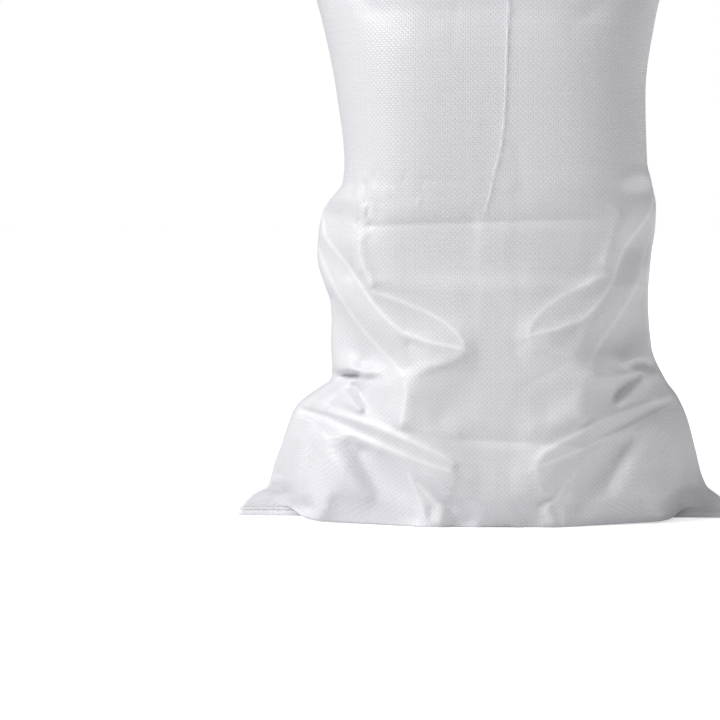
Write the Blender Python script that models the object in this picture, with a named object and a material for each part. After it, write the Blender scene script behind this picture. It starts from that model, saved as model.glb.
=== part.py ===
"""A filled cement sack of woven polypropylene, sewn shut at both ends, standing upright.

Metres, +Z up, the front faces -Y. The origin is on the floor, in the middle of the sack's footprint box.
"""

from math import pi

import bpy
import numpy as np

# The hems, where the layers of cloth lie flat together and are sewn.
HEM_HALF_WIDTH = 0.262
HEM_HALF_THICKNESS = 0.0016
BOTTOM_HEM_HEIGHT = 0.0095
TOP_HEM_HEIGHT = 0.024
TOP_HEM_HALF_WIDTH = 0.252

# The sewing threads: where they run, measured from the edge of their hem.
THREAD_DIAMETER = 0.0010
THREAD_GAP = 0.0003
BOTTOM_STITCH_FROM_EDGE = 0.0068
TOP_STITCH_FROM_EDGE = 0.0120
THREAD_SHORT_OF_CORNER = 0.004
THREAD_SIDES = 12

# Under the sack the cloth bulges down to the floor on both sides of the bottom hem.
SEAM_SLOT_WIDTH = 0.0026
CUT_DEPTH_INTO_HEM = 0.0001
CUTTER_MARGIN = 0.010

# The strand that has frayed off the top hem and hangs down the front.
STRAND_DIAMETER = 0.0014
STRAND_ROUTE = (
    (0.0240, -0.0041, 0.6900),
    (0.0240, -0.0043, 0.6800),
    (0.0239, -0.0072, 0.6700),
    (0.0238, -0.0143, 0.6600),
    (0.0236, -0.0290, 0.6520),
    (0.0235, -0.0475, 0.6400),
    (0.0232, -0.0715, 0.6200),
    (0.0228, -0.0892, 0.6000),
    (0.0225, -0.1006, 0.5800),
    (0.0220, -0.1091, 0.5600),
    (0.0216, -0.1147, 0.5400),
    (0.0212, -0.1187, 0.5200),
    (0.0207, -0.1223, 0.5000),
    (0.0202, -0.1250, 0.4800),
    (0.0196, -0.1269, 0.4600),
    (0.0188, -0.1281, 0.4400),
    (0.0178, -0.1290, 0.4200),
    (0.0160, -0.1296, 0.4000),
    (0.0130, -0.1299, 0.3820),
    (0.0085, -0.1300, 0.3660),
    (0.0050, -0.1300, 0.3520),
    (0.0038, -0.1297, 0.3420),
    (0.0010, -0.1292, 0.3320),
)
STRAND_POINTS = 76

# Cross-sections from the floor up: how far above the one before, how far the sack reaches to its left
# and right edge, how far it bulges to the front and back, how flat its faces are (2 is round) and how
# sharp its two edges are (0.5 is round, over 1 is a thin ear).
FOOT = (
    (0.000, 0.2620, 0.2620, 0.098, 0.100, 2.2, 3.2),
    (0.008, 0.2615, 0.2615, 0.113, 0.114, 2.2, 2.6),
    (0.013, 0.2510, 0.2490, 0.1205, 0.1215, 2.3, 1.8),
    (0.013, 0.2320, 0.2340, 0.1245, 0.1255, 2.4, 1.2),
    (0.040, 0.2180, 0.2220, 0.128, 0.129, 2.5, 0.85),
    (0.029, 0.2090, 0.2140, 0.1295, 0.130, 2.6, 0.75),
    (0.025, 0.1920, 0.2030, 0.130, 0.130, 2.8, 0.62),
)
WAIST = (
    (0.018, 0.1660, 0.1900, 0.130, 0.130, 3.0, 0.52),
    (0.035, 0.1650, 0.1750, 0.130, 0.131, 3.2, 0.48),
    (0.050, 0.1650, 0.1710, 0.130, 0.131, 3.2, 0.46),
)
SHOULDER = (
    (0.045, 0.1790, 0.1740, 0.130, 0.130, 3.0, 0.50),
    (0.027, 0.1780, 0.1780, 0.129, 0.130, 3.0, 0.50),
    (0.025, 0.1710, 0.1790, 0.128, 0.130, 3.2, 0.46),
    (0.026, 0.1510, 0.1740, 0.128, 0.130, 3.6, 0.40),
    (0.020, 0.1490, 0.1690, 0.128, 0.130, 3.7, 0.40),
)
TOP_SLOPE = (
    (0.070, 0.1570, 0.1670, 0.126, 0.127, 3.4, 0.42),
    (0.080, 0.1730, 0.1770, 0.117, 0.118, 3.0, 0.50),
    (0.064, 0.1940, 0.1960, 0.094, 0.095, 2.6, 0.70),
    (0.040, 0.2150, 0.2160, 0.060, 0.061, 2.4, 0.95),
    (0.024, 0.2350, 0.2350, 0.026, 0.026, 2.4, 1.20),
)
TOP_HEM_RISE = 0.016
TOP_HEM_SHAPE = (2.4, 1.2)
ROW_STEP = 0.015
LOW_ROW_STEP = 0.0085
LOW_ROWS_END = 0.33

# The columns of the mesh: between one share of the way across the sack and the next, how many.
COLUMN_BANDS = ((0.0, 0.02, 3), (0.02, 0.46, 20), (0.46, 0.60, 3), (0.60, 0.98, 13), (0.98, 1.0, 3))

# The photograph's camera: where it stands, what it looks at and its focal length. With it a point of the
# photograph becomes a point of the cloth, once we say how far out the cloth is there.
PHOTO_MIDDLE = 360
FOCAL_PIXELS = 2835
CAMERA_PLACE = (0.0, -3.0, 0.315)
CAMERA_AIM = (-0.133, 0.0, 0.166)

# The half width of the bottom hem that the distances out are drawn for. They follow the hem's own size.
DRAWN_HALF_WIDTH_MM = 262

# The left edge: photograph pixel across, pixel down, and how far the side of the sack reaches forward
# there, in millimetres, before it turns into the front.
LEFT_EDGE = (
    (238.5, 517.5, 2), (238.8, 511, 3), (243, 504, 3), (250, 497, 3), (256, 493, 4), (262, 491, 5),
    (266.5, 487.5, 7), (268.6, 481, 9), (272, 466, 14), (276, 456, 17), (280, 446, 20), (285, 431, 22),
    (289, 420, 24), (292, 412, 25), (297, 404, 27), (305, 397, 29), (318, 388, 33), (328, 381.5, 37),
    (330.5, 378.5, 38), (331.2, 374.5, 38), (331, 360, 36), (329.8, 340, 34), (331, 320, 32),
    (329.5, 300, 30), (323, 282, 27), (317.5, 266, 25), (316.3, 256, 25), (316.6, 245, 24),
    (317.6, 235, 24), (319.3, 224, 23), (321, 216, 22), (324, 208, 21), (330, 200, 20), (337, 192, 20),
    (344, 184.5, 20),
)
EDGE_OUT_MM = 10.0
LEFT_EDGE_ENDS = 0.325
EDGE_BLEND = 0.025

# The folds of the lower left corner: photograph pixel across, pixel down, and how far the cloth stands out
# from the middle of the sack there, in millimetres. Between two lines the cloth is pulled straight.
FOLDS = {
    "left edge": ((330, 300, 30), (331, 320, 32), (330, 340, 34), (331, 358, 36), (331, 369, 37)),
    "ridge two": ((318, 248, 28), (326, 268, 48), (334, 286, 66), (341, 299, 77), (352, 315, 88),
        (364, 331, 96.5), (378, 347, 104), (391, 360, 110.5), (402, 373, 118)),
    "valley floor": ((343, 283, 72), (353, 302, 83), (367, 314, 91.5), (380, 328, 98),
        (390, 343, 103.5), (402, 362, 109), (407, 368, 114)),
    "ridge one": ((322, 215, 26), (325, 235, 44), (332, 246, 60), (347, 264, 80), (362, 287, 97),
        (371, 301, 105.5), (382, 314, 111.5), (392, 324, 116), (404, 333, 120.5), (417, 338, 125.5),
        (430, 342, 129.3), (445, 345, 131.8), (458, 347, 132.5)),
    "above ridge one": ((396, 319.5, 114.5), (408, 328, 118), (419, 333, 122.2), (431, 337, 126),
        (445, 340, 129), (456, 342, 130.5)),
    "rim": ((374, 292, 112), (390, 297, 118), (405, 303, 121), (425, 311, 124.8), (443, 321, 128),
        (457, 333, 130.3), (463, 343, 131.5), (464, 351, 131.8), (458, 359, 131.3), (445, 364, 130.3),
        (428, 369, 128.5), (416, 374, 126)),
    "under the tongue's ridge": ((408, 342, 117.5), (418, 346, 123), (430, 349, 127.8), (444, 352, 130.8),
        (455, 353, 131.8)),
    "under the tongue's ridge, lower": ((410, 357, 117.5), (424, 360, 125), (440, 360, 129.6)),
    "outside the rim": ((376, 288, 113.5), (391, 293, 116), (407, 299, 118.8), (427, 307, 122.3),
        (446, 317.5, 125.7), (460, 330.5, 128.6), (466, 341, 130.2), (467, 352, 130.7), (461, 362, 130.5),
        (447, 367.5, 129.6), (430, 372.5, 128.3), (418, 379, 126.5)),
    "front corner": ((358, 236, 117.5), (359, 250, 117), (363, 266, 116.5), (370, 282, 116)),
    "slit, upper lip": ((334, 372.5, 40), (344, 372, 60), (356, 371.5, 78), (370, 372.5, 94),
        (386, 374, 104)),
    "slit, bottom": ((343, 375.4, 46), (349, 375.4, 51), (356, 375.6, 61), (362, 376, 76)),
    "slit, lower lip": ((332, 378, 38), (343, 378.5, 50), (354, 379, 66), (364, 379, 84), (378, 379, 98)),
    "border of the panel": ((404, 382, 121), (406, 393, 124), (404, 407, 124.5), (401, 422, 124.5)),
    "crest left of the hollow": ((338, 384, 49), (346, 391, 62), (354, 401, 78), (361, 409, 91)),
    "hollow under the slit": ((354, 388, 67), (359, 394, 73.5), (364, 402, 84)),
    "light face under the slit": ((372, 386, 95), (370, 400, 95.5), (380, 402, 105), (392, 395, 113)),
    "left shoulder": ((318, 388, 34), (305, 398, 28), (296, 407, 24)),
    "ridge three up": ((305, 405, 34), (330, 412.5, 61), (352, 418, 85), (372, 425, 105), (390, 432, 116),
        (407, 440, 123), (430, 450, 129), (445, 457, 131.5), (452, 464, 132)),
    "between": ((303, 407.5, 30), (318, 413, 43), (332, 417.8, 58), (350, 425, 80), (372, 433, 101.5),
        (395, 443, 115), (415, 452, 122.3), (435, 461, 128.8)),
    "ridge three low": ((300, 411, 30), (325, 422, 58), (352, 434, 84), (380, 445, 106.5), (407, 456, 120.5),
        (430, 464, 127.7), (449, 470.5, 131.5)),
    "tip": ((453, 467, 132),),
    "outside the tip": ((441, 451, 129.5), (453, 457, 130), (458, 464, 130.3), (458, 472, 129.5)),
    "ridge four": ((403, 427, 124.5), (430, 431, 129.5), (457, 435, 132)),
    "under ridge four": ((415, 437, 124), (440, 443, 129.5)),
    "facet": ((437, 417, 127.5), (420, 402, 127), (437, 390, 128.5)),
    "edge low": ((290, 420, 24), (286, 432, 22), (280, 448, 20), (275, 465, 15), (269, 483, 8)),
    "cheek": ((306, 420, 44), (300, 440, 48), (300, 460, 49), (306, 480, 54), (305, 497, 50)),
    "front of the cheek": ((316, 440, 66), (318, 465, 70), (322, 485, 71), (322, 500, 70), (320, 510, 66)),
    "ear": ((262, 492, 3), (250, 500, 3), (241, 510, 2.5), (256, 499, 7), (268, 497, 10), (252, 507, 8),
        (262, 506, 12), (272, 505, 15), (281, 505, 18)),
    "pucker": ((322, 450, 70),),
    "facet by the ear": ((292, 478, 38), (284, 491, 24), (293, 508, 27), (309, 509, 38)),
    "cheek crest": ((337, 440, 76), (343, 452, 80), (350, 466, 84), (359, 480, 86), (366, 492, 86)),
    "deep valley": ((350, 444, 78), (357, 459, 79), (366, 474, 82), (374, 487, 86), (382, 498, 91)),
    "right of the valley": ((366, 446, 97), (376, 458, 102), (388, 473, 106), (399, 488, 107)),
    "small ridge one": ((406, 478, 113.5), (413, 487, 113.5), (420, 498, 113), (424, 511, 112.5),
        (426, 519, 111.5), (426, 523, 110)),
    "between small ridges": ((425, 478, 121), (430, 487, 118), (436, 495, 115), (441, 501, 112.5)),
    "small ridge two": ((432, 476, 127), (440, 486, 126), (446, 495, 123)),
    "toe": ((434, 501, 113), (440, 507, 115), (443, 511, 115.5), (441, 519, 115.5), (438, 523, 114)),
    "between the toe and the small ridge": ((431, 509, 111.5), (431, 517, 110)),
    "left of the small ridge": ((412, 507, 106), (413, 519, 104)),
    "fold edge": ((453, 472, 131), (451, 484, 128), (448, 495, 123)),
    "behind the fold edge": ((458, 475, 129), (456, 486, 126.5), (453, 496, 121.5)),
    "groove by the toe": ((450, 504, 114), (461, 505, 117), (474, 507, 120)),
    "belly line": ((300, 516, 18), (319, 517.5, 54), (335, 519, 60), (355, 521, 71), (380, 523, 86),
        (405, 525, 97), (425, 526.5, 107), (440, 525.5, 110)),
    "above the belly line": ((340, 503, 66), (360, 509, 78), (385, 513, 92), (402, 516, 101)),
    "panel low": ((470, 480, 128.3), (470, 498, 124.5), (468, 514, 115.5), (466, 522, 106)),
}
FOLD_STEP = 0.008
FOLD_ROUNDING = 0.004
FOLDS_END_X = -0.014
FOLDS_FADE_X = 0.014
FOLDS_END_Z = 0.315
FOLDS_FADE_Z = 0.025
BORDER_STEP = 0.020
BORDER_REACH = 0.160
LEAST_APART = 0.002

# Each lower corner, by face and side: how strongly it is folded, and its stretch across and upwards.
CORNERS = {
    ("front", "left"): (1.00, 1.00, 1.00),
    ("front", "right"): (0.85, 1.10, 0.93),
    ("back", "left"): (0.80, 0.92, 1.07),
    ("back", "right"): (0.90, 1.04, 0.97),
}
SIDE_ROUNDING = 0.30
LEAST_ROUNDING = 0.001

# The level creases that baling left across both faces: height at the middle, tilt, depth, and how far
# each reaches above and below. The cloth between the two main ones lies a little further in.
BALE_CREASES = (
    (0.312, 0.030, 0.0034, 0.014, 0.010),
    (0.527, -0.020, 0.0030, 0.012, 0.014),
)
BALE_STEP_HEIGHT = 0.252
BALE_STEP_RISE = 0.022
BALE_STEP_DEPTH = 0.0030
BALE_STEP_TOP = 0.270
BALE_STEP_FADE = 0.050
CREASES_START = -0.125
CREASES_END = 0.100
CREASES_FADE = 0.040

WHITE = (0.86, 0.87, 0.89)


def clear_scene():
    for thing in list(bpy.data.objects):
        bpy.data.objects.remove(thing, do_unlink=True)


def material(name, colour, roughness):
    made = bpy.data.materials.new(name)
    made.use_nodes = True
    shader = made.node_tree.nodes["Principled BSDF"]
    shader.inputs["Base Color"].default_value = (*colour, 1.0)
    shader.inputs["Roughness"].default_value = roughness
    return made


def stations():
    """Every cross-section, floor to top: height, left, right, front, back, flatness, sharpness."""
    rows = []
    height = 0.0
    for above, *section in FOOT + WAIST + SHOULDER + TOP_SLOPE:
        height += above
        rows.append((height, *section))
    hem = (TOP_HEM_HALF_WIDTH, TOP_HEM_HALF_WIDTH, HEM_HALF_THICKNESS, HEM_HALF_THICKNESS, *TOP_HEM_SHAPE)
    hem_starts = height + TOP_HEM_RISE
    rows.append((hem_starts, *hem))
    rows.append((hem_starts + TOP_HEM_HEIGHT, *hem))
    return np.array(rows)


def row_heights(table):
    """The heights of the mesh's rows: every station, and evenly between them, closer where the folds are."""
    heights = [table[0, 0]]
    for low, high in zip(table[:-1, 0], table[1:, 0]):
        step = LOW_ROW_STEP if high <= LOW_ROWS_END else ROW_STEP
        count = max(1, int(np.ceil((high - low) / step - 0.01)))
        heights.extend(low + (high - low) * (k + 1) / count for k in range(count))
    return np.array(heights)


def spread_columns():
    """Where the columns lie across the sack, from 0 to 1."""
    parts = [np.linspace(low, high, count + 1)[:-1] for low, high, count in COLUMN_BANDS]
    return np.concatenate(parts + [[1.0]])


def smooth_curve(x, y, at):
    """A monotone cubic through the points (x, y), read at the values in at."""
    step = np.diff(x)
    rate = np.diff(y) / step
    slope = np.zeros(len(x))
    steady = rate[:-1] * rate[1:] > 0
    total = np.where(steady, rate[:-1] + rate[1:], 1.0)
    slope[1:-1] = np.where(steady, 2 * rate[:-1] * rate[1:] / total, 0.0)
    slope[0] = rate[0]
    slope[-1] = rate[-1]
    k = np.clip(np.searchsorted(x, at, side="right") - 1, 0, len(step) - 1)
    t = (at - x[k]) / step[k]
    return (
        (2 * t**3 - 3 * t**2 + 1) * y[k]
        + (t**3 - 2 * t**2 + t) * step[k] * slope[k]
        + (3 * t**2 - 2 * t**3) * y[k + 1]
        + (t**3 - t**2) * step[k] * slope[k + 1]
    )


def fade(value, start, length):
    """1 below start, 0 past start + length, with a smooth step between."""
    t = np.clip((value - start) / length, 0.0, 1.0)
    return 1.0 - t * t * (3.0 - 2.0 * t)


def drawn(out_mm):
    """A drawn distance in millimetres, in metres and at the size of this sack."""
    return np.asarray(out_mm) * HEM_HALF_WIDTH / DRAWN_HALF_WIDTH_MM


def cloth_point(across, down, out_mm):
    """x, z and how far out the cloth is, in metres, for a photograph pixel and a distance out."""
    place = np.array(CAMERA_PLACE)
    line = np.array(CAMERA_AIM) - place
    line /= np.linalg.norm(line)
    right = np.cross(line, (0.0, 0.0, 1.0))
    right /= np.linalg.norm(right)
    up = np.cross(right, line)
    ray = line + (right * (across - PHOTO_MIDDLE) - up * (down - PHOTO_MIDDLE)) / FOCAL_PIXELS
    out = drawn(out_mm)
    spot = place + ray * (-out - place[1]) / ray[1]
    return spot[0], spot[2], out


class Outline:
    """The sack's cross-sections, and its left edge as the photograph shows it."""

    def __init__(self):
        self.table = stations()
        spots = np.array([cloth_point(a, d, EDGE_OUT_MM)[:2] for a, d, _ in LEFT_EDGE])
        self.heights = np.maximum(spots[:, 1], 0.0)
        self.heights[0] = 0.0
        self.reach = -spots[:, 0]
        self.forward = drawn([forward for _, _, forward in LEFT_EDGE])

    def at(self, k, z):
        return smooth_curve(self.table[:, 0], self.table[:, k], z)

    def left(self, z):
        """How far the sack reaches to its left."""
        keep = fade(z, LEFT_EDGE_ENDS, EDGE_BLEND)
        return np.interp(z, self.heights, self.reach) * keep + self.at(1, z) * (1.0 - keep)

    def right(self, z):
        """How far the sack reaches to its right."""
        return self.at(2, z)

    def side_forward(self, z):
        """How far the side reaches forward before it turns into the front."""
        return np.interp(z, self.heights, self.forward)

    def plain_face(self, x, z, side):
        """How far out the cloth would be with no folds. side is 3 for the front and 4 for the back."""
        edge = np.where(x < 0, self.left(z), self.right(z))
        share = np.clip(np.abs(x) / edge, 0.0, 1.0)
        out = self.at(side, z) * (1.0 - share ** self.at(5, z)) ** self.at(6, z)
        return np.maximum(out, HEM_HALF_THICKNESS)


def along(line):
    """Points a short step apart along a line of (x, z, out)."""
    line = np.array(line, float)
    if len(line) == 1:
        return line
    run = np.concatenate([[0.0], np.cumsum(np.linalg.norm(np.diff(line[:, :2], axis=0), axis=1))])
    steps = np.linspace(0.0, run[-1], max(2, int(run[-1] / FOLD_STEP) + 1))
    return np.stack([np.interp(steps, run, line[:, k]) for k in range(3)], axis=1)


def fold_points(outline):
    """The lines' points, and points of the unfolded cloth round them."""
    found = [along([cloth_point(*spot) for spot in line]) for line in FOLDS.values()]
    up = np.arange(BORDER_STEP, FOLDS_END_Z + FOLDS_FADE_Z, BORDER_STEP)
    beside = np.zeros_like(up)
    found.append(np.stack([beside, up, outline.plain_face(beside, up, 3)], axis=1))
    across = np.arange(-BORDER_REACH, 0.0, BORDER_STEP)
    above = np.full_like(across, FOLDS_END_Z + FOLDS_FADE_Z)
    found.append(np.stack([across, above, outline.plain_face(across, above, 3)], axis=1))
    points = np.concatenate(found)
    kept = [0]
    for k in range(1, len(points)):
        if np.min(np.linalg.norm(points[kept, :2] - points[k, :2], axis=1)) > LEAST_APART:
            kept.append(k)
    return points[kept]


def distance_to(x, z, places):
    """Softened distances from points x, z to places."""
    flat = (x[:, None] - places[None, :, 0]) ** 2 + (z[:, None] - places[None, :, 1]) ** 2
    return np.sqrt(flat + FOLD_ROUNDING**2)


def fold_weights(points):
    """The weights of the surface through all points: one for each point and three for its mean plane."""
    count = len(points)
    table = np.zeros((count + 3, count + 3))
    table[:count, :count] = distance_to(points[:, 0], points[:, 1], points)
    table[:count, count] = table[count, :count] = 1.0
    table[:count, count + 1 :] = points[:, :2]
    table[count + 1 :, :count] = points[:, :2].T
    return np.linalg.solve(table, np.concatenate([points[:, 2], np.zeros(3)]))


def folded_face(surface, x, z):
    """How far out the folded cloth is, with the corner to the left."""
    points, weights = surface
    plane = weights[-3] + x * weights[-2] + z * weights[-1]
    return distance_to(x, z, points) @ weights[:-3] + plane


def baling(x, z):
    """How far the level creases pull the cloth in."""
    inside = (1.0 - fade(x, CREASES_START, CREASES_FADE)) * fade(x, CREASES_END, CREASES_FADE)
    depth = np.zeros_like(x)
    for height, tilt, deep, over, under in BALE_CREASES:
        gap = z - height - tilt * x
        depth += deep * np.where(gap > 0, np.exp(-gap / over), np.exp(gap / under))
    step = 1.0 - fade(z, BALE_STEP_HEIGHT - BALE_STEP_RISE / 2, BALE_STEP_RISE)
    depth += BALE_STEP_DEPTH * step * fade(z, BALE_STEP_TOP, BALE_STEP_FADE)
    return depth * inside


def face(x, z, name, outline, surface):
    """How far out one face of the sack is."""
    out = outline.plain_face(x, z, 3 if name == "front" else 4)
    for side in ("left", "right"):
        strength, wide, tall = CORNERS[name, side]
        mirrored = x if side == "left" else -x
        own_edge = outline.left(z) if side == "left" else outline.right(z)
        up = z * tall
        across = -outline.left(up) + (mirrored + own_edge) * wide
        rounding = LEAST_ROUNDING + SIDE_ROUNDING * outline.side_forward(up)
        near = np.clip((mirrored + own_edge) / rounding, 0.0, 1.0)
        folded = np.maximum(folded_face(surface, across, up), HEM_HALF_THICKNESS)
        folded *= np.sqrt(1.0 - (1.0 - near) ** 2)
        part = strength * fade(across, FOLDS_END_X, FOLDS_FADE_X) * fade(up, FOLDS_END_Z, FOLDS_FADE_Z)
        out = out * (1.0 - part) + folded * part
    return np.maximum(out - baling(x, z), np.minimum(out, HEM_HALF_THICKNESS))


def sack_mesh():
    outline = Outline()
    points = fold_points(outline)
    surface = (points, fold_weights(points))
    heights = row_heights(outline.table)
    top = heights[-1]
    spread = spread_columns()
    rows = []
    for height in heights:
        z = np.full_like(spread, height)
        left = outline.left(z)
        x = -left + (left + outline.right(z)) * spread
        front = -face(x, z, "front", outline, surface)
        back = face(x, z, "back", outline, surface)
        front[[0, -1]] = 0.0
        around_front = np.stack([x, front, z], axis=1)
        around_back = np.stack([x, back, z], axis=1)[-2:0:-1]
        rows.append(np.concatenate([around_front, around_back]))
    grid = np.array(rows)
    count = grid.shape[1]
    faces = []
    for j in range(len(heights) - 1):
        for i in range(count):
            k = (i + 1) % count
            faces.append((j * count + i, j * count + k, (j + 1) * count + k, (j + 1) * count + i))
    last = (len(heights) - 1) * count
    faces.append(tuple(range(count - 1, -1, -1)))
    faces.append(tuple(last + i for i in range(count)))
    mesh = bpy.data.meshes.new("sack")
    mesh.from_pydata(grid.reshape(-1, 3).tolist(), [], faces)
    mesh.validate()
    return mesh, top


def new_object(name, mesh, finish):
    thing = bpy.data.objects.new(name, mesh)
    mesh.materials.append(finish)
    bpy.context.scene.collection.objects.link(thing)
    return thing


def box_cutter(name, low, high):
    corners = [(x, y, z) for x in (low[0], high[0]) for y in (low[1], high[1]) for z in (low[2], high[2])]
    sides = [(0, 1, 3, 2), (4, 6, 7, 5), (0, 4, 5, 1), (2, 3, 7, 6), (0, 2, 6, 4), (1, 5, 7, 3)]
    mesh = bpy.data.meshes.new(name)
    mesh.from_pydata(corners, [], sides)
    cutter = bpy.data.objects.new(name, mesh)
    bpy.context.scene.collection.objects.link(cutter)
    cutter.hide_render = True
    cutter.display_type = "WIRE"
    return cutter


def cut_beside_seam(sack, side):
    """The slot between the bottom hem and the cloth that bulges down beside it."""
    inner = HEM_HALF_THICKNESS - CUT_DEPTH_INTO_HEM
    outer = HEM_HALF_THICKNESS + SEAM_SLOT_WIDTH
    across = sorted((side * inner, side * outer))
    reach = HEM_HALF_WIDTH + CUTTER_MARGIN
    cutter = box_cutter(
        "seam_slot_cutter",
        (-reach, across[0], -CUTTER_MARGIN),
        (reach, across[1], BOTTOM_HEM_HEIGHT),
    )
    cut = sack.modifiers.new("slot", "BOOLEAN")
    cut.operation = "DIFFERENCE"
    cut.solver = "EXACT"
    cut.object = cutter


def thread(name, side, height, hem_half, hem_reach, finish):
    """One straight sewing thread along a face of a hem."""
    radius = THREAD_DIAMETER / 2
    y = side * (hem_half + THREAD_GAP + radius)
    reach = hem_reach - THREAD_SHORT_OF_CORNER
    angles = [2 * pi * k / THREAD_SIDES for k in range(THREAD_SIDES)]
    ring = [(y + radius * np.cos(a), height + radius * np.sin(a)) for a in angles]
    points = [(x, *place) for x in (-reach, reach) for place in ring]
    n = THREAD_SIDES
    faces = [(k, (k + 1) % n, n + (k + 1) % n, n + k) for k in range(n)]
    faces += [tuple(range(n - 1, -1, -1)), tuple(range(n, 2 * n))]
    mesh = bpy.data.meshes.new(name)
    mesh.from_pydata(points, [], faces)
    return new_object(name, mesh, finish)


def smooth_route(points):
    """A smooth curve through the route's own points, with a point every few diameters."""
    line = np.array(points)
    run = np.concatenate([[0.0], np.cumsum(np.linalg.norm(np.diff(line, axis=0), axis=1))])
    steps = np.linspace(0.0, run[-1], STRAND_POINTS)
    return np.stack([smooth_curve(run, line[:, k], steps) for k in range(3)], axis=1)


def strand(finish):
    route = smooth_route(STRAND_ROUTE)
    curve = bpy.data.curves.new("loose_tape", "CURVE")
    curve.dimensions = "3D"
    curve.bevel_depth = STRAND_DIAMETER / 2
    curve.bevel_resolution = 2
    curve.use_fill_caps = True
    spline = curve.splines.new("POLY")
    spline.points.add(len(route) - 1)
    for point, place in zip(spline.points, route):
        point.co = (*place, 1.0)
    thing = bpy.data.objects.new("loose_tape", curve)
    curve.materials.append(finish)
    bpy.context.scene.collection.objects.link(thing)
    return thing


def main():
    clear_scene()
    cloth = material("woven_polypropylene", WHITE, 0.45)
    cotton = material("sewing_thread", WHITE, 0.70)
    mesh, top = sack_mesh()
    depth = [v.co.y for v in mesh.vertices]
    middle = (min(depth) + max(depth)) / 2
    sack = new_object("sack", mesh, cloth)
    for polygon in mesh.polygons:
        polygon.use_smooth = True
    for side in (-1, 1):
        cut_beside_seam(sack, side)
    cut_hem = HEM_HALF_THICKNESS - CUT_DEPTH_INTO_HEM
    thread("bottom_needle_thread", -1, BOTTOM_STITCH_FROM_EDGE, cut_hem, HEM_HALF_WIDTH, cotton)
    thread("bottom_looper_thread", 1, BOTTOM_STITCH_FROM_EDGE, cut_hem, HEM_HALF_WIDTH, cotton)
    thread("top_needle_thread", -1, top - TOP_STITCH_FROM_EDGE, HEM_HALF_THICKNESS, TOP_HEM_HALF_WIDTH, cotton)
    strand(cloth)
    thread("top_looper_thread", 1, top - TOP_STITCH_FROM_EDGE, HEM_HALF_THICKNESS, TOP_HEM_HALF_WIDTH, cotton)
    for thing in bpy.context.scene.objects:
        thing.location.y -= middle
    bpy.context.view_layer.update()
    print("top", round(top, 4), "moved back by", round(middle, 5))


main()
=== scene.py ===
# %% [markdown]
# A filled cement sack.
# The real thing is a tube of flat polypropylene tape, woven about ten tapes to the inch, sewn shut at
# both ends and filled with powder. This lesson loads the plain solids of the sack as a fixed frame and
# makes the cloth, its folds, the hems, the stitches and one frayed tape around them.
# Every length is in metres, +Z is up, and the front of the sack faces -Y.

from math import pi

import bpy
import numpy as np
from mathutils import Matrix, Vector


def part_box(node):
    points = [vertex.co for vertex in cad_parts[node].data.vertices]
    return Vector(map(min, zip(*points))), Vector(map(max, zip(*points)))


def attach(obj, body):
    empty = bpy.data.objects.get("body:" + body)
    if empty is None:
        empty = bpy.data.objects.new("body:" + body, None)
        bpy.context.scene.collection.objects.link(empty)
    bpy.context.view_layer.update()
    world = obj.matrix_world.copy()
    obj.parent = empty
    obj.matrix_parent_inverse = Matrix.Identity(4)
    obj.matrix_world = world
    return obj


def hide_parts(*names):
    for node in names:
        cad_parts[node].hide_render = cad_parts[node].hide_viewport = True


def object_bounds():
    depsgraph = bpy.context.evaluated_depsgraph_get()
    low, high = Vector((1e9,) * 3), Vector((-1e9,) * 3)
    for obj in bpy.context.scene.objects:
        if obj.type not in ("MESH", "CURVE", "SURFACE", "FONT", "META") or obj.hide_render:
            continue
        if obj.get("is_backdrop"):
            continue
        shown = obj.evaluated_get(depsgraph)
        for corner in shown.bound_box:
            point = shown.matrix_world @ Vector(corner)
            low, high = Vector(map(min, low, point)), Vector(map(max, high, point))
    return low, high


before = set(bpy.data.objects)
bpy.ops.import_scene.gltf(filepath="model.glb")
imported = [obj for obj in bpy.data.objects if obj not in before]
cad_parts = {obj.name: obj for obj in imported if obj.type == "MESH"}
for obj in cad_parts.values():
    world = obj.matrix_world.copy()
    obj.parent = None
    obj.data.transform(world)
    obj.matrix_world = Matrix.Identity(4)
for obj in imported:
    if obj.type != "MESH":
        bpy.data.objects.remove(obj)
CAD_LOW, CAD_HIGH = (list(corner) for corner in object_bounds())
print("frame nodes:", sorted(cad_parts))
print("frame box:", [round(v, 4) for v in CAD_LOW], [round(v, 4) for v in CAD_HIGH])

# %% [markdown]
# The camera stands three metres in front of the sack, a little above its waist, with a long lens,
# because in the photograph the belly's lower edge and the level creases look almost straight. It could
# be shifted, but it is turned to the left and down, so that the sack's lower left corner is in view.
# The same few numbers also work backwards: they turn a point of the photograph into a point of the
# cloth, once we say how far out the cloth is there.

# %% Camera
PHOTO_SIZE = 720
CAMERA_PLACE = np.array((0.0, -3.0, 0.315))
CAMERA_AIM = np.array((-0.133, 0.0, 0.166))
LENS_MM = 141.75
SENSOR_MM = 36.0
SEES_AS_FAR_AS = 200.0

VIEW_LINE = (CAMERA_AIM - CAMERA_PLACE) / np.linalg.norm(CAMERA_AIM - CAMERA_PLACE)
VIEW_RIGHT = np.cross(VIEW_LINE, (0.0, 0.0, 1.0))
VIEW_RIGHT = VIEW_RIGHT / np.linalg.norm(VIEW_RIGHT)
VIEW_UP = np.cross(VIEW_RIGHT, VIEW_LINE)
FOCAL_PIXELS = LENS_MM / SENSOR_MM * PHOTO_SIZE

camera_data = bpy.data.cameras.new("camera")
camera_data.lens = LENS_MM
camera_data.sensor_width = SENSOR_MM
camera_data.clip_end = SEES_AS_FAR_AS
camera = bpy.data.objects.new("camera", camera_data)
camera.location = CAMERA_PLACE
camera.rotation_euler = Vector(VIEW_LINE).to_track_quat("-Z", "Y").to_euler()
bpy.context.scene.collection.objects.link(camera)
bpy.context.scene.camera = camera


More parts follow.
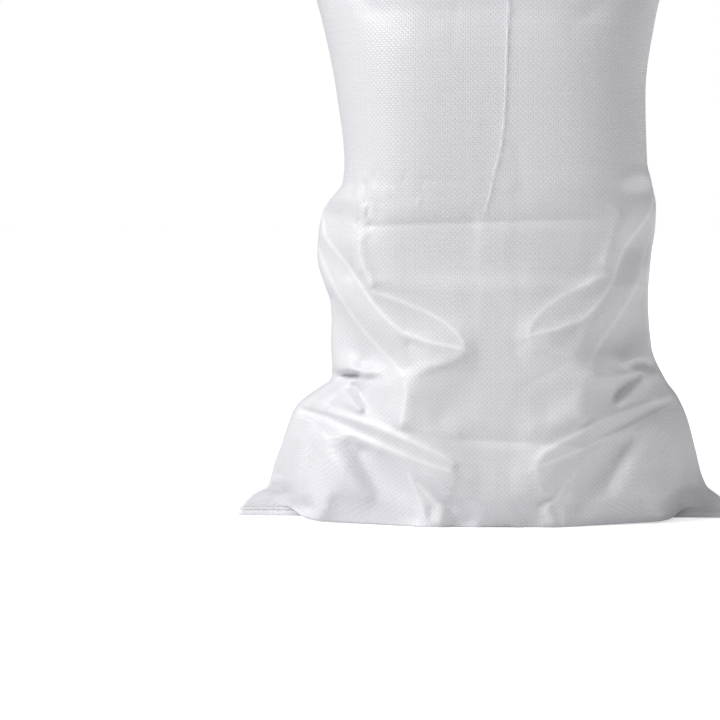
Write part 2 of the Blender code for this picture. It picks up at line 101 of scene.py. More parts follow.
def pixel_of(point):
    """Where a point of the scene lies in the photograph."""
    away = np.asarray(point, float) - CAMERA_PLACE
    depth = away @ VIEW_LINE
    return (
        PHOTO_SIZE / 2 + FOCAL_PIXELS * (away @ VIEW_RIGHT) / depth,
        PHOTO_SIZE / 2 - FOCAL_PIXELS * (away @ VIEW_UP) / depth,
    )


def cloth_point(across, down, out_mm):
    """x, z and how far out the cloth is, in metres, for a photograph pixel and a distance out."""
    ray = (
        VIEW_LINE
        + VIEW_RIGHT * (across - PHOTO_SIZE / 2) / FOCAL_PIXELS
        - VIEW_UP * (down - PHOTO_SIZE / 2) / FOCAL_PIXELS
    )
    out = out_mm / 1000.0
    spot = CAMERA_PLACE + ray * (-out - CAMERA_PLACE[1]) / ray[1]
    return spot[0], spot[2], out


print("tip of the lower left ear at pixel", [round(v, 1) for v in pixel_of((-0.262, 0.0, 0.0))])

# %% [markdown]
# Colours are written as the sRGB hex values that a colour picker shows, and Blender's shaders want
# linear light, so one function turns the first into the second. One more function adds a shader node
# with its settings and links, and a third starts an empty material. The materials could be drawn by hand
# in the node editor, but in a script every number of theirs can be read.

# %% Helpers for materials
CLOTH_WHITE = "#EFEFF4"
# The white of the sharp crests: partly whitened tape, partly a painted highlight.
CREST_WHITE_AND_HIGHLIGHT = "#FCFCFE"
THREAD_WHITE = "#F1F0EC"
TAPE_WHITE = "#FDFDFF"
FLOOR_WHITE = "#EEEEEE"


def linear(hex_colour):
    """Four linear numbers for an sRGB hex colour."""
    parts = [int(hex_colour[k : k + 2], 16) / 255 for k in (1, 3, 5)]
    return [v / 12.92 if v <= 0.04045 else ((v + 0.055) / 1.055) ** 2.4 for v in parts] + [1.0]


def add_node(tree, kind, settings=None, **inputs):
    """A new shader node. An input is a number, a colour, a socket to link from or a node, for its first
    output. Its name is the input's own, or an underscore and its number."""
    node = tree.nodes.new("ShaderNode" + kind)
    for name, value in (settings or {}).items():
        setattr(node, name, value)
    for name, value in inputs.items():
        key = int(name[1:]) if name[0] == "_" else name.replace("_", " ")
        socket = node.inputs[key]
        if isinstance(value, bpy.types.Node):
            value = value.outputs[0]
        if isinstance(value, bpy.types.NodeSocket):
            tree.links.new(value, socket)
        else:
            socket.default_value = value
    return node


def new_material(name):
    """An empty material and its node tree."""
    made = bpy.data.materials.new(name)
    made.use_nodes = True
    made.node_tree.nodes.clear()
    return made, made.node_tree


print("cloth white in linear light:", [round(v, 3) for v in linear(CLOTH_WHITE)])

# %% [markdown]
# The strand that hangs down the front is taken to be one tape that has frayed off the top hem, which
# the photograph doesn't show. It could be a simulated rope, but its place is fixed by the plain solid in
# the frame, so its route is a smooth curve through a short list of points. The tape has split and
# curled, so it is made as a flattened tube that turns along its length, and its end is two thin fibres.

# %% The strand's route
STRAND_WIDTH = 0.0014
STRAND_THICKNESS = 0.0009
STRAND_STEPS = 220
STRAND_ROUTE = (
    (0.0240, -0.0041, 0.6900),
    (0.0240, -0.0043, 0.6800),
    (0.0239, -0.0072, 0.6700),
    (0.0238, -0.0143, 0.6600),
    (0.0236, -0.0290, 0.6520),
    (0.0235, -0.0475, 0.6400),
    (0.0232, -0.0715, 0.6200),
    (0.0228, -0.0892, 0.6000),
    (0.0225, -0.1006, 0.5800),
    (0.0220, -0.1091, 0.5600),
    (0.0216, -0.1147, 0.5400),
    (0.0212, -0.1187, 0.5200),
    (0.0207, -0.1223, 0.5000),
    (0.0202, -0.1250, 0.4800),
    (0.0196, -0.1269, 0.4600),
    (0.0188, -0.1281, 0.4400),
    (0.0178, -0.1290, 0.4200),
    (0.0160, -0.1296, 0.4000),
    (0.0130, -0.1299, 0.3820),
    (0.0085, -0.1300, 0.3660),
    (0.0050, -0.1300, 0.3520),
    (0.0038, -0.1297, 0.3420),
    (0.0010, -0.1292, 0.3320),
)


def smooth_curve(x, y, at):
    """A monotone cubic through the points (x, y), read at the values in at."""
    step = np.diff(x)
    rate = np.diff(y) / step
    slope = np.zeros(len(x))
    steady = rate[:-1] * rate[1:] > 0
    total = np.where(steady, rate[:-1] + rate[1:], 1.0)
    slope[1:-1] = np.where(steady, 2 * rate[:-1] * rate[1:] / total, 0.0)
    slope[0] = rate[0]
    slope[-1] = rate[-1]
    k = np.clip(np.searchsorted(x, at, side="right") - 1, 0, len(step) - 1)
    t = (at - x[k]) / step[k]
    return (
        (2 * t**3 - 3 * t**2 + 1) * y[k]
        + (t**3 - 2 * t**2 + t) * step[k] * slope[k]
        + (3 * t**2 - 2 * t**3) * y[k + 1]
        + (t**3 - t**2) * step[k] * slope[k + 1]
    )


def run_along(line):
    """The distance along a line of points, from its first point."""
    return np.concatenate([[0.0], np.cumsum(np.linalg.norm(np.diff(line, axis=0), axis=1))])


def smooth_route(points, count):
    """Evenly spaced points on a smooth curve through a few chosen ones."""
    line = np.array(points)
    run = run_along(line)
    steps = np.linspace(0.0, run[-1], count)
    return np.stack([smooth_curve(run, line[:, k], steps) for k in range(3)], axis=1)


strand_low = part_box("loose_tape")[0]
strand_shift = strand_low.y + STRAND_WIDTH / 2 - min(p[1] for p in STRAND_ROUTE)
strand_path = smooth_route(STRAND_ROUTE, STRAND_STEPS) + np.array((0.0, strand_shift, 0.0))

# %% [markdown]
# The sack is drawn as rows of points, from the floor up. Each row is a cross-section with a left and a
# right edge, a bulge to the front and one to the back. It could be sculpted or simulated from a flat
# bag, but cross-sections keep it close to the frame's solid and let the outline follow the photograph.
# The numbers are the same as in the plain solid, but for the lowest row, which reaches a little further
# forward.

# %% Cross-sections
HEM_HALF = 0.0016
BOTTOM_HEM = 0.0095
TOP_HEM_REACH = 0.252
BOTTOM_HEM_REACH = 0.262

# How far above the one before, left edge, right edge, front bulge, back bulge, flatness, sharpness.
FOOT = (
    (0.000, 0.2620, 0.2620, 0.107, 0.100, 2.2, 3.2),
    (0.008, 0.2615, 0.2615, 0.113, 0.114, 2.2, 2.6),
    (0.013, 0.2510, 0.2490, 0.1205, 0.1215, 2.3, 1.8),
    (0.013, 0.2320, 0.2340, 0.1245, 0.1255, 2.4, 1.2),
    (0.040, 0.2180, 0.2220, 0.128, 0.129, 2.5, 0.85),
    (0.029, 0.2090, 0.2140, 0.1295, 0.130, 2.6, 0.75),
    (0.025, 0.1920, 0.2030, 0.130, 0.130, 2.8, 0.62),
)
WAIST = (
    (0.018, 0.1660, 0.1900, 0.130, 0.130, 3.0, 0.52),
    (0.035, 0.1650, 0.1750, 0.130, 0.131, 3.2, 0.48),
    (0.050, 0.1650, 0.1710, 0.130, 0.131, 3.2, 0.46),
)
SHOULDER = (
    (0.045, 0.1790, 0.1740, 0.130, 0.130, 3.0, 0.50),
    (0.027, 0.1780, 0.1780, 0.129, 0.130, 3.0, 0.50),
    (0.025, 0.1710, 0.1790, 0.128, 0.130, 3.2, 0.46),
    (0.026, 0.1510, 0.1740, 0.128, 0.130, 3.6, 0.40),
    (0.020, 0.1490, 0.1690, 0.128, 0.130, 3.7, 0.40),
)
TOP_SLOPE = (
    (0.070, 0.1570, 0.1670, 0.126, 0.127, 3.4, 0.42),
    (0.080, 0.1730, 0.1770, 0.117, 0.118, 3.0, 0.50),
    (0.064, 0.1940, 0.1960, 0.094, 0.095, 2.6, 0.70),
    (0.040, 0.2150, 0.2160, 0.060, 0.061, 2.4, 0.95),
    (0.024, 0.2350, 0.2350, 0.026, 0.026, 2.4, 1.20),
    (0.016, 0.2520, 0.2520, 0.0016, 0.0016, 2.4, 1.20),
    (0.024, 0.2520, 0.2520, 0.0016, 0.0016, 2.4, 1.20),
)
STATIONS = []
for above, *section in FOOT + WAIST + SHOULDER + TOP_SLOPE:
    STATIONS.append((above + (STATIONS[-1][0] if STATIONS else 0.0), *section))
STATIONS = np.array(STATIONS)
SACK_TOP = STATIONS[-1, 0]
print(len(STATIONS), "cross-sections, sack height", round(SACK_TOP, 4))

# %% [markdown]
# The left edge is read from the photograph, which shows every notch of it. The notches could be folds
# like the others, but the outline has to be right first, and a list of its own is easy to check.

# %% Left edge
# The left edge in the photograph: pixel across, pixel down, and how far the side of the sack reaches
# forward there, in millimetres, before it turns into the front.
LEFT_EDGE = (
    (238.5, 517.5, 2), (238.8, 511, 3), (243, 504, 3), (250, 497, 3), (256, 493, 4), (262, 491, 5),
    (266.5, 487.5, 7), (268.6, 481, 9), (272, 466, 14), (276, 456, 17), (280, 446, 20), (285, 431, 22),
    (289, 420, 24), (292, 412, 25), (297, 404, 27), (305, 397, 29), (318, 388, 33), (328, 381.5, 37),
    (330.5, 378.5, 38), (331.2, 374.5, 38), (331, 360, 36), (329.8, 340, 34), (331, 320, 32),
    (329.5, 300, 30), (323, 282, 27), (317.5, 266, 25), (316.3, 256, 25), (316.6, 245, 24),
    (317.6, 235, 24), (319.3, 224, 23), (321, 216, 22), (324, 208, 21), (330, 200, 20), (337, 192, 20),
    (344, 184.5, 20),
)
EDGE_OUT_MM = 10.0
LEFT_EDGE_ENDS = 0.325
EDGE_BLEND = 0.025


def fade(value, start, length):
    """1 below start, 0 past start + length, with a smooth step between."""
    t = np.clip((value - start) / length, 0.0, 1.0)
    return 1.0 - t * t * (3.0 - 2.0 * t)


edge_spots = np.array([cloth_point(a, d, EDGE_OUT_MM)[:2] for a, d, _ in LEFT_EDGE])
edge_heights = np.maximum(edge_spots[:, 1], 0.0)
edge_heights[0] = 0.0
edge_reach = -edge_spots[:, 0]
edge_forward = np.array([forward for _, _, forward in LEFT_EDGE]) / 1000.0


def station_value(k, z):
    """Column k of the cross-sections, read at height z."""
    return smooth_curve(STATIONS[:, 0], STATIONS[:, k], z)


def left_edge(z):
    """How far the sack reaches to its left at height z."""
    drawn = np.interp(z, edge_heights, edge_reach)
    keep = fade(z, LEFT_EDGE_ENDS, EDGE_BLEND)
    return drawn * keep + station_value(1, z) * (1.0 - keep)


def right_edge(z):
    """How far the sack reaches to its right at height z."""
    return station_value(2, z)


def side_forward(z):
    """How far the side reaches forward before it turns into the front."""
    return np.interp(z, edge_heights, edge_forward)


print("the left edge of the waist reaches", round(float(left_edge(np.array([0.2]))[0]), 4), "m")

# %% [markdown]
# The powder has slumped, so the cloth at each lower corner is too long and folds. In the photograph two
# ridges run down from the left edge and end in a tongue on the front, a slit pinches the waist under
# them, and three more ridges cross the foot. Each of these lines is named below with its photograph
# pixels and how many millimetres the cloth stands out from the middle of the sack there. The folds could
# be sculpted by hand instead, but named lines are easy to read and to move.

# %% The folds of the lower left corner
FOLDS = {
    "left edge": ((330, 300, 38), (331, 320, 41), (331, 340, 43), (331, 358, 44), (331, 369, 44)),
    "middle of the left face": ((343, 318, 61.5), (349, 335, 65), (356, 350, 70.5), (361, 362, 75.5)),
    "ridge two": ((318, 248, 28), (326, 268, 48), (334, 286, 63.5), (341, 299, 72.5), (352, 315, 79.5),
        (364, 331, 86.5), (378, 347, 95), (391, 360, 105.3), (398, 368, 112.5), (403.5, 375, 120.5)),
    "top of the dark wall": ((347, 284, 80), (352, 291, 84.5), (362, 304.5, 94.5), (375, 320, 106),
        (389, 335.5, 114), (400, 348, 118), (406, 357, 120.2), (409, 366, 121)),
    "ridge one": ((322, 215, 26), (325, 235, 44), (332, 246, 60), (347, 264, 80), (362, 287, 97),
        (371, 301, 105.5), (382, 314, 111.5), (392, 324, 116), (404, 333, 120.5), (417, 338, 125.5),
        (430, 342, 129.3), (445, 345, 132), (461, 348, 134)),
    "above ridge one": ((377, 303, 109), (387, 313, 112.8), (396, 320, 116.2), (408, 328.5, 120.2),
        (419, 333.5, 124.1), (431, 337.5, 127.9), (445, 340.5, 130.8), (456, 342, 132.2)),
    "rim": ((374, 292, 111.8), (390, 297, 116.8), (405, 303, 119.3), (425, 311, 122.7),
        (443, 321, 126.8), (457, 333, 131.3), (463, 343, 133.4), (464.5, 351, 134.2)),
    "lower rim": ((462, 356, 134.3), (456, 360, 134.1), (445, 364, 133.2), (428, 369, 130.8),
        (418, 373, 128.2)),
    "under the tongue's ridge": ((410, 343.5, 120.6), (418, 346, 124), (430, 349, 129),
        (444, 352, 132.3), (455, 353, 133.8)),
    "under the tongue's ridge, lower": ((424, 360, 127.4), (440, 360, 132)),
    "outside the rim": ((376, 288, 113.6), (391, 293, 116.1), (407, 299, 119), (427, 307, 122.5),
        (446, 317.5, 126.3), (460, 329.5, 130.3), (468.5, 341, 132), (470.5, 352, 132.6),
        (464, 363, 132.4), (447, 368, 131.6), (430, 373, 129.8), (418, 379.5, 127.8),
        (410, 385, 126.2)),
    "front corner": ((372, 228, 110.5), (364, 233, 107.5), (358.5, 240, 107), (359, 252, 109),
        (363, 266, 112), (371, 284, 114.5)),
    "panel by the corner": ((372, 237, 111.5), (366, 244, 110.5), (366, 250, 111.5), (371, 266, 114),
        (379, 281, 116)),
    "panel": ((400, 240, 120.5), (400, 270, 121.5), (430, 240, 125), (430, 272, 125.5),
        (452, 290, 128)),
    "left of the corner": ((366, 224, 106), (357, 229, 101.5), (352, 238, 99), (351.5, 246, 100),
        (354, 258, 101), (359, 271, 105.5)),
    "slit, upper lip": ((334, 372.5, 40), (342, 371.5, 58), (354, 371.5, 77), (368, 373, 93),
        (386, 374, 104)),
    "slit, bottom": ((345, 375.4, 46), (351, 375.6, 49), (357, 376, 60)),
    "slit, lower lip": ((332, 378, 38), (343, 378.5, 50), (354, 379, 65), (364, 379, 80),
        (378, 379, 98)),
    "border of the panel": ((405, 384, 124), (406, 393, 125.2), (404, 407, 125.4), (401, 422, 125)),
    "crest left of the hollow": ((337, 383, 51), (346, 391, 68), (354, 401, 84), (361, 409, 94)),
    "hollow under the slit": ((354, 384, 66), (358, 391, 69.5), (362, 398, 75), (366, 404, 83)),
    "light face under the slit": ((374, 387, 96), (374, 400, 98), (382, 402, 105), (392, 395, 113)),
    "left shoulder": ((318, 388, 34), (305, 398, 28), (296, 407, 24)),
    "above ridge three": ((332, 407.5, 60.5), (354, 413.5, 84.5), (374, 420.5, 103.5),
        (392, 427.5, 114.7), (409, 435.5, 122.2), (430, 445.5, 128), (444, 452.5, 130)),
    "ridge three up": ((305, 405, 34), (330, 411.5, 61), (352, 417.5, 85.5), (372, 424.5, 105),
        (390, 431.5, 116.3), (407, 439.5, 123.5), (430, 449.5, 129.3), (445, 456.5, 131.5),
        (452, 464, 132)),
    "between": ((303, 407.5, 31), (318, 415.5, 44.5), (334, 421.5, 61), (352, 429.5, 80),
        (380, 441, 106), (407, 452, 121), (430, 460.5, 128.3), (443, 465.5, 131.1)),
    "ridge three low": ((300, 411, 30), (325, 421.5, 57.5), (352, 433.5, 84), (380, 445, 107),
        (407, 456, 121), (430, 464.5, 128.3), (449, 470.5, 131.5)),
    "under ridge three": ((352, 438.5, 83), (380, 450, 105.5), (407, 461, 119.7), (430, 469, 127.5)),
    "tip": ((453, 467, 132),),
    "outside the tip": ((441, 451, 129.5), (453, 457, 130), (458, 464, 130.3), (458, 472, 129.5)),
    "ridge four": ((403, 427, 124.5), (430, 431, 129.5), (457, 435, 132)),
    "under ridge four": ((415, 437, 124.4), (440, 443, 130.3)),
    "facet": ((437, 417, 126.5), (420, 402, 126.6), (437, 390, 128.6)),
    "edge low": ((290, 420, 24), (286, 432, 22), (280, 448, 20), (275, 465, 15), (269, 483, 8)),
    "cheek": ((306, 420, 44), (302, 440, 48), (301, 460, 50), (305, 480, 56), (308, 495, 58)),
    "front of the cheek": ((322, 440, 73), (325, 460, 79), (326, 480, 80.5), (325, 495, 80),
        (322, 506, 77)),
    "ear": ((262, 493, 2.0), (250, 500, 1.8), (241, 508, 1.7), (256, 500, 2.1), (268, 499, 3),
        (280, 499, 6)),
    "above the hem": ((244, 508, 1.7), (258, 507.5, 1.8), (270, 507.5, 2.0), (282, 508, 2.6),
        (292, 509, 5)),
    "facet by the ear": ((292, 478, 35), (284, 491, 14), (297, 500, 25), (309, 507, 42)),
    "cheek crest": ((340, 451, 84), (347, 462, 90), (354, 474, 94.5), (361, 486, 97.5), (366, 494, 98)),
    "deep valley": ((350, 444, 80), (357, 456, 82.5), (364, 468, 86), (371, 480, 89.5),
        (379, 492, 93.5), (385, 500, 96.5)),
    "right of the valley": ((367, 450, 88), (376, 463, 91), (386, 476, 93.7), (397, 488, 97)),
    "small ridge one": ((408, 474, 114.5), (413, 485, 112.5), (418, 497, 111), (422, 510, 110.6),
        (425, 519, 110.2), (426, 523, 109)),
    "between small ridges": ((425, 478, 122.5), (430, 487, 119.3), (436, 495, 116), (441, 501, 113)),
    "small ridge two": ((432, 476, 127), (440, 486, 126), (446, 495, 123)),
    "toe": ((418, 484, 115), (425, 492, 114.4), (432, 500, 114.3), (440, 507, 115.3), (443, 511, 115.8),
        (441, 519, 115.5), (438, 523, 114)),
    "between the toe and the small ridge": ((431, 509, 111.5), (431, 517, 110)),
    "left of the small ridge": ((405, 493, 101), (410, 502, 102.6), (415, 511, 103.6),
        (418, 519, 104.3)),
    "fold edge": ((453, 472, 131.5), (451, 484, 129), (448, 495, 124)),
    "behind the fold edge": ((458, 475, 130.4), (456, 486, 127.8), (453, 496, 122.6)),
    "groove by the toe": ((447, 503.5, 111.5), (461, 504.5, 115.5), (474, 507, 119)),
    "belly line": ((300, 516, 24), (319, 517.5, 69), (335, 519, 75), (355, 521, 81), (380, 523, 91),
        (405, 525, 101), (425, 526.5, 109), (440, 525.5, 111)),
    "above the belly line": ((340, 503, 82), (360, 509, 88), (385, 513, 96.7), (402, 516, 100)),
    "panel low": ((470, 480, 128.3), (470, 496, 125), (458, 498, 122)),
    "under the groove": ((452, 511, 110), (466, 512, 112), (470, 520, 107), (455, 521, 106)),
}
print(len(FOLDS), "lines, drawn with", sum(len(line) for line in FOLDS.values()), "points")

# %% [markdown]
# Each line becomes a row of points, a few millimetres apart. A sharp crease gets a small rounding, and a
# line that is no crease a larger one. Round the folded corner a few points of the plain cloth are added,
# so that the folds run out into it. One point for each end of a line would be less to work out, but the
# crease would sag between them.

# %% Points along the lines
FOLD_STEP = 0.003
FOLD_ROUNDING = 0.0015
SOFT_ROUNDING = 0.010
SOFT_LINES = (
    "panel", "middle of the left face", "light face under the slit", "left shoulder", "cheek",
    "front of the cheek", "cheek crest", "right of the valley", "above the belly line", "ear",
    "above the hem", "facet",
)
FOLDS_END_X = -0.014
FOLDS_FADE_X = 0.014
FOLDS_END_Z = 0.315
FOLDS_FADE_Z = 0.025
BORDER_STEP = 0.020
BORDER_REACH = 0.16
LEAST_APART = 0.0015


def along(line, step):
    """Points a short step apart along a line of (x, z, out, rounding)."""
    line = np.array(line, float)
    if len(line) == 1:
        return line
    run = run_along(line[:, :2])
    steps = np.linspace(0.0, run[-1], max(2, int(run[-1] / step) + 1))
    return np.stack([np.interp(steps, run, line[:, k]) for k in range(4)], axis=1)


def plain_face(x, z, side):
    """How far out the cloth would be with no folds. side is 3 for the front and 4 for the back."""
    edge = np.where(x < 0, left_edge(z), right_edge(z))
    share = np.clip(np.abs(x) / edge, 0.0, 1.0)
    out = station_value(side, z) * (1.0 - share ** station_value(5, z)) ** station_value(6, z)
    return np.maximum(out, HEM_HALF)


def fold_points():
    """The lines' points, and points of the unfolded cloth round them, each with its rounding."""
    found = []
    for name, line in FOLDS.items():
        rounding = SOFT_ROUNDING if name in SOFT_LINES else FOLD_ROUNDING
        found.append(along([(*cloth_point(*spot), rounding) for spot in line], FOLD_STEP))
    up = np.arange(BORDER_STEP, FOLDS_END_Z + FOLDS_FADE_Z, BORDER_STEP)
    beside = np.zeros_like(up)
    found.append(np.stack([beside, up, plain_face(beside, up, 3), beside + SOFT_ROUNDING], axis=1))
    across = np.arange(-BORDER_REACH, 0.0, BORDER_STEP)
    above_all = np.full_like(across, FOLDS_END_Z + FOLDS_FADE_Z)
    flat = plain_face(across, above_all, 3)
    found.append(np.stack([across, above_all, flat, np.full_like(across, SOFT_ROUNDING)], axis=1))
    points = np.concatenate(found)
    kept = [0]
    for k in range(1, len(points)):
        if np.min(np.linalg.norm(points[kept, :2] - points[k, :2], axis=1)) > LEAST_APART:
            kept.append(k)
    return points[kept]


fold_places = fold_points()
print(len(fold_places), "points in the fold surface")

# %% [markdown]
# Between two lines the cloth is pulled straight, as real cloth is. The surface through all the points is
# a sum of cones, one for each point, with weights that solve one set of equations. A sharp cone leaves a
# crease, and a blunt one a soft swelling. A triangle mesh through the points would do the same, but its
# triangles would show.


# %% The surface through the points
def distance_to(x, z, places):
    """Softened distances from points x, z to places."""
    flat = (x[:, None] - places[None, :, 0]) ** 2 + (z[:, None] - places[None, :, 1]) ** 2
    return np.sqrt(flat + places[None, :, 3] ** 2)


def fold_weights(points):
    """The weights of the surface through all points: one for each point and three for its mean plane."""
    count = len(points)
    table = np.zeros((count + 3, count + 3))
    table[:count, :count] = distance_to(points[:, 0], points[:, 1], points)
    table[:count, count] = table[count, :count] = 1.0
    table[:count, count + 1 :] = points[:, :2]
    table[count + 1 :, :count] = points[:, :2].T
    return np.linalg.solve(table, np.concatenate([points[:, 2], np.zeros(3)]))


weights = fold_weights(fold_places)


def folded_face(x, z):
    """How far out the folded cloth is, with the corner to the left."""
    plane = weights[-3] + x * weights[-2] + z * weights[-1]
    return distance_to(x, z, fold_places) @ weights[:-3] + plane


miss = folded_face(fold_places[:, 0], fold_places[:, 1]) - fold_places[:, 2]
print("the surface misses its points by at most", round(float(np.abs(miss).max()) * 1000, 6), "mm")

# %% [markdown]
# Sacks are pressed flat in a bale before they are filled, and the level creases that this leaves never
# quite go. The photograph shows two on the front, with the cloth under the upper one a little further
# in, and a third is guessed above them. They could be fold lines too, but as they run across the whole
# sack a formula is shorter: each is a valley with its own width above and below that fades out sideways.

# %% Level creases
# Height at the middle, tilt, depth, how far it reaches above and below, where it starts and over what.
BALE_CREASES = (
    (0.312, 0.030, 0.0031, 0.011, 0.010, -0.1280, 0.011),
    (0.090, -0.050, 0.0040, 0.040, 0.007, -0.0600, 0.040),
    (0.527, -0.020, 0.0030, 0.012, 0.014, -0.1460, 0.040),
)
# The cloth that lies further in: where it starts and over what height it sinks in, how deep it lies,
# and where it ends and over what height.
BALE_STEP_STARTS = 0.242
BALE_STEP_SINKS_OVER = 0.022
BALE_STEP_DEPTH = 0.0030
BALE_STEP_ENDS = 0.270
BALE_STEP_ENDS_OVER = 0.050
# Where that cloth starts on the left, where everything here ends on the right, and over what.
PANEL_STARTS = -0.146
PANEL_STARTS_OVER = 0.010
CREASES_END = 0.100
CREASES_END_OVER = 0.040


def baling(x, z):
    """How far the level creases pull the cloth in."""
    depth = np.zeros_like(x)
    for height, tilt, deep, over, under, start, start_over in BALE_CREASES:
        gap = z - height - tilt * x
        crease = deep * np.where(gap > 0, np.exp(-gap / over), np.exp(gap / under))
        depth += crease * (1.0 - fade(x, start, start_over))
    step = 1.0 - fade(z, BALE_STEP_STARTS, BALE_STEP_SINKS_OVER)
    step *= fade(z, BALE_STEP_ENDS, BALE_STEP_ENDS_OVER)
    step *= 1.0 - fade(x, PANEL_STARTS, PANEL_STARTS_OVER)
    return (depth + BALE_STEP_DEPTH * step) * fade(x, CREASES_END, CREASES_END_OVER)


print("level creases at heights", [crease[0] for crease in BALE_CREASES])

# %% [markdown]
# Above the folds the cloth is crumpled, and the slack cloth under the top hem has slanting creases. Each
# is a short straight dent with soft ends. A noise texture could crumple the cloth with less work, but
# cloth creases along lines, not in blots. The small wrinkles are drawn at random with a fixed seed.

# %% Short creases
# How square the ends of a dent are, and how blunt its bottom is, as a share of its width.
DENT_ENDS_POWER = 0.7
DENT_BLUNTNESS = 0.3


def dent(x, z, start, end, depth, width):
    """A crease along a straight line: a V that is deepest at its middle and runs out at its ends."""
    run_x, run_z = end[0] - start[0], end[1] - start[1]
    length = (run_x**2 + run_z**2) ** 0.5
    along_it = ((x - start[0]) * run_x + (z - start[1]) * run_z) / length**2
    beside_it = ((x - start[0]) * run_z - (z - start[1]) * run_x) / length
    ends = np.clip(4.0 * along_it * (1.0 - along_it), 0.0, 1.0) ** DENT_ENDS_POWER
    return depth * ends * np.exp(-np.sqrt(beside_it**2 + (DENT_BLUNTNESS * width) ** 2) / width)


# Creases of the upper part: start x and z, end x and z, depth, width.
TOP_CREASES = (
    (0.235, 0.664, 0.120, 0.570, 0.0080, 0.010),
    (0.225, 0.666, 0.060, 0.610, 0.0060, 0.009),
    (0.215, 0.650, 0.150, 0.540, 0.0055, 0.009),
    (0.190, 0.664, 0.095, 0.640, 0.0035, 0.007),
    (0.150, 0.560, 0.080, 0.500, 0.0030, 0.008),
    (0.105, 0.660, 0.020, 0.635, 0.0025, 0.008),
)
# Creases of the crumpled cloth above the lower left folds: photograph pixels of both ends, depth, width.
CRUMPLES = (
    ((365.5, 180), (367, 205), 0.0043, 0.0018), ((361, 217), (354, 227), 0.0031, 0.0016),
    ((352, 168), (350, 200), 0.0029, 0.0022), ((358, 176), (356, 214), -0.0024, 0.0022),
    ((372, 178), (376, 206), -0.0019, 0.0020), ((371, 196), (367, 221), 0.0024, 0.0018),
    ((341, 209), (331, 211), -0.0029, 0.0018), ((340, 198), (352, 214), 0.0026, 0.0022),
    ((377, 168), (372, 188), 0.0017, 0.0020), ((362, 206), (370, 224), -0.0022, 0.0018),
    ((350, 214), (360, 232), 0.0022, 0.0022), ((384, 185), (390, 200), -0.0008, 0.0022),
    ((345, 186), (357, 182), 0.0024, 0.0022), ((375, 208), (382, 220), 0.0014, 0.0020),
    ((384, 172), (394, 190), 0.0008, 0.0022), ((396, 180), (408, 196), 0.0007, 0.0022),
    ((408, 170), (402, 186), 0.0006, 0.0022), ((416, 184), (428, 200), 0.0006, 0.0022),
    ((402, 200), (414, 212), -0.0007, 0.0022), ((428, 176), (422, 190), 0.0005, 0.0022),
    ((421, 197), (418, 209), -0.0009, 0.0020),
)
CRUMPLES_OUT_MM = 95
# How strong the creases of the upper part are on each face and side, and how far that moves their ends.
TOP_SIDES = {("front", -1): 1.0, ("front", 1): 0.8, ("back", -1): 0.75, ("back", 1): 1.1}
START_SHIFT = 0.04
END_SHIFT = 0.15
END_DROP = 0.02
# The random wrinkles: two corners of their area, spread of their angle, share of them that are upright,
# half length, depth and width. The drawn corner of the front has none: it ends at this x and z.
WRINKLES = 90
WRINKLE_SEED = {"front": 5, "back": 6}
WRINKLE_AREA = ((-0.17, 0.04), (0.17, 0.64))
WRINKLE_SPREAD = 0.7
WRINKLES_UPRIGHT = 0.3
WRINKLE_REACH = (0.012, 0.045)
WRINKLE_DEPTH = (-0.0006, 0.0010)
WRINKLE_WIDTH = (0.003, 0.007)
FOLDED_CORNER = (-0.02, 0.33)


def creases(x, z, name):
    """How far the creases of the upper part and the small wrinkles pull the cloth in."""
    depth = np.zeros_like(x)
    for side in (-1, 1):
        strength = TOP_SIDES[name, side]
        for start_x, start_z, end_x, end_z, deep, wide in TOP_CREASES:
            more = strength - 1.0
            start = (side * start_x * (1.0 + START_SHIFT * more), start_z)
            end = (side * end_x * (1.0 + END_SHIFT * more), end_z - END_DROP * more)
            depth += dent(x, z, start, end, strength * deep, wide)
    random = np.random.default_rng(WRINKLE_SEED[name])
    for _ in range(WRINKLES):
        middle = random.uniform(*WRINKLE_AREA)
        turn = random.normal(0.0, WRINKLE_SPREAD)
        turn += pi / 2 if random.uniform() < WRINKLES_UPRIGHT else 0.0
        reach = random.uniform(*WRINKLE_REACH)
        step = np.array((np.cos(turn), np.sin(turn))) * reach
        deep = random.uniform(*WRINKLE_DEPTH)
        wide = random.uniform(*WRINKLE_WIDTH)
        if name == "front" and middle[0] < FOLDED_CORNER[0] and middle[1] < FOLDED_CORNER[1]:
            continue
        depth += dent(x, z, middle - step, middle + step, deep, wide)
    if name == "front":
        for start, end, deep, wide in CRUMPLES:
            start, end = (cloth_point(*spot, CRUMPLES_OUT_MM)[:2] for spot in (start, end))
            depth += dent(x, z, start, end, deep, wide)
    return depth


print(len(CRUMPLES), "crumples on the front,", 2 * len(TOP_CREASES), "top creases on each face")

# %% [markdown]
# The same corner is used four times, because all four lower corners of a slumped sack fold alike, but
# never twice the same: each is mirrored, stretched a little and folded less or more. A face is then the
# plain cross-section, with the folded corners blended in and rounded into the side, and with the creases
# pulled in.

# %% One face of the sack
# Face and side: how strongly folded, stretch across, stretch upwards.
CORNERS = {
    ("front", "left"): (1.00, 1.00, 1.00),
    ("front", "right"): (0.85, 1.10, 0.93),
    ("back", "left"): (0.80, 0.92, 1.07),
    ("back", "right"): (0.90, 1.04, 0.97),
}
# A face is rounded into the side over this share of how far the side reaches forward.
SIDE_ROUNDING = 0.18
LEAST_ROUNDING = 0.001


def corner_places(x, z, name, side):
    """Where points of a face lie on the corner that was drawn, and how strongly it is folded there."""
    strength, wide, tall = CORNERS[name, side]
    mirrored = x if side == "left" else -x
    own_edge = left_edge(z) if side == "left" else right_edge(z)
    up = z * tall
    across = -left_edge(up) + (mirrored + own_edge) * wide
    part = strength * fade(across, FOLDS_END_X, FOLDS_FADE_X) * fade(up, FOLDS_END_Z, FOLDS_FADE_Z)
    return across, up, mirrored + own_edge, part


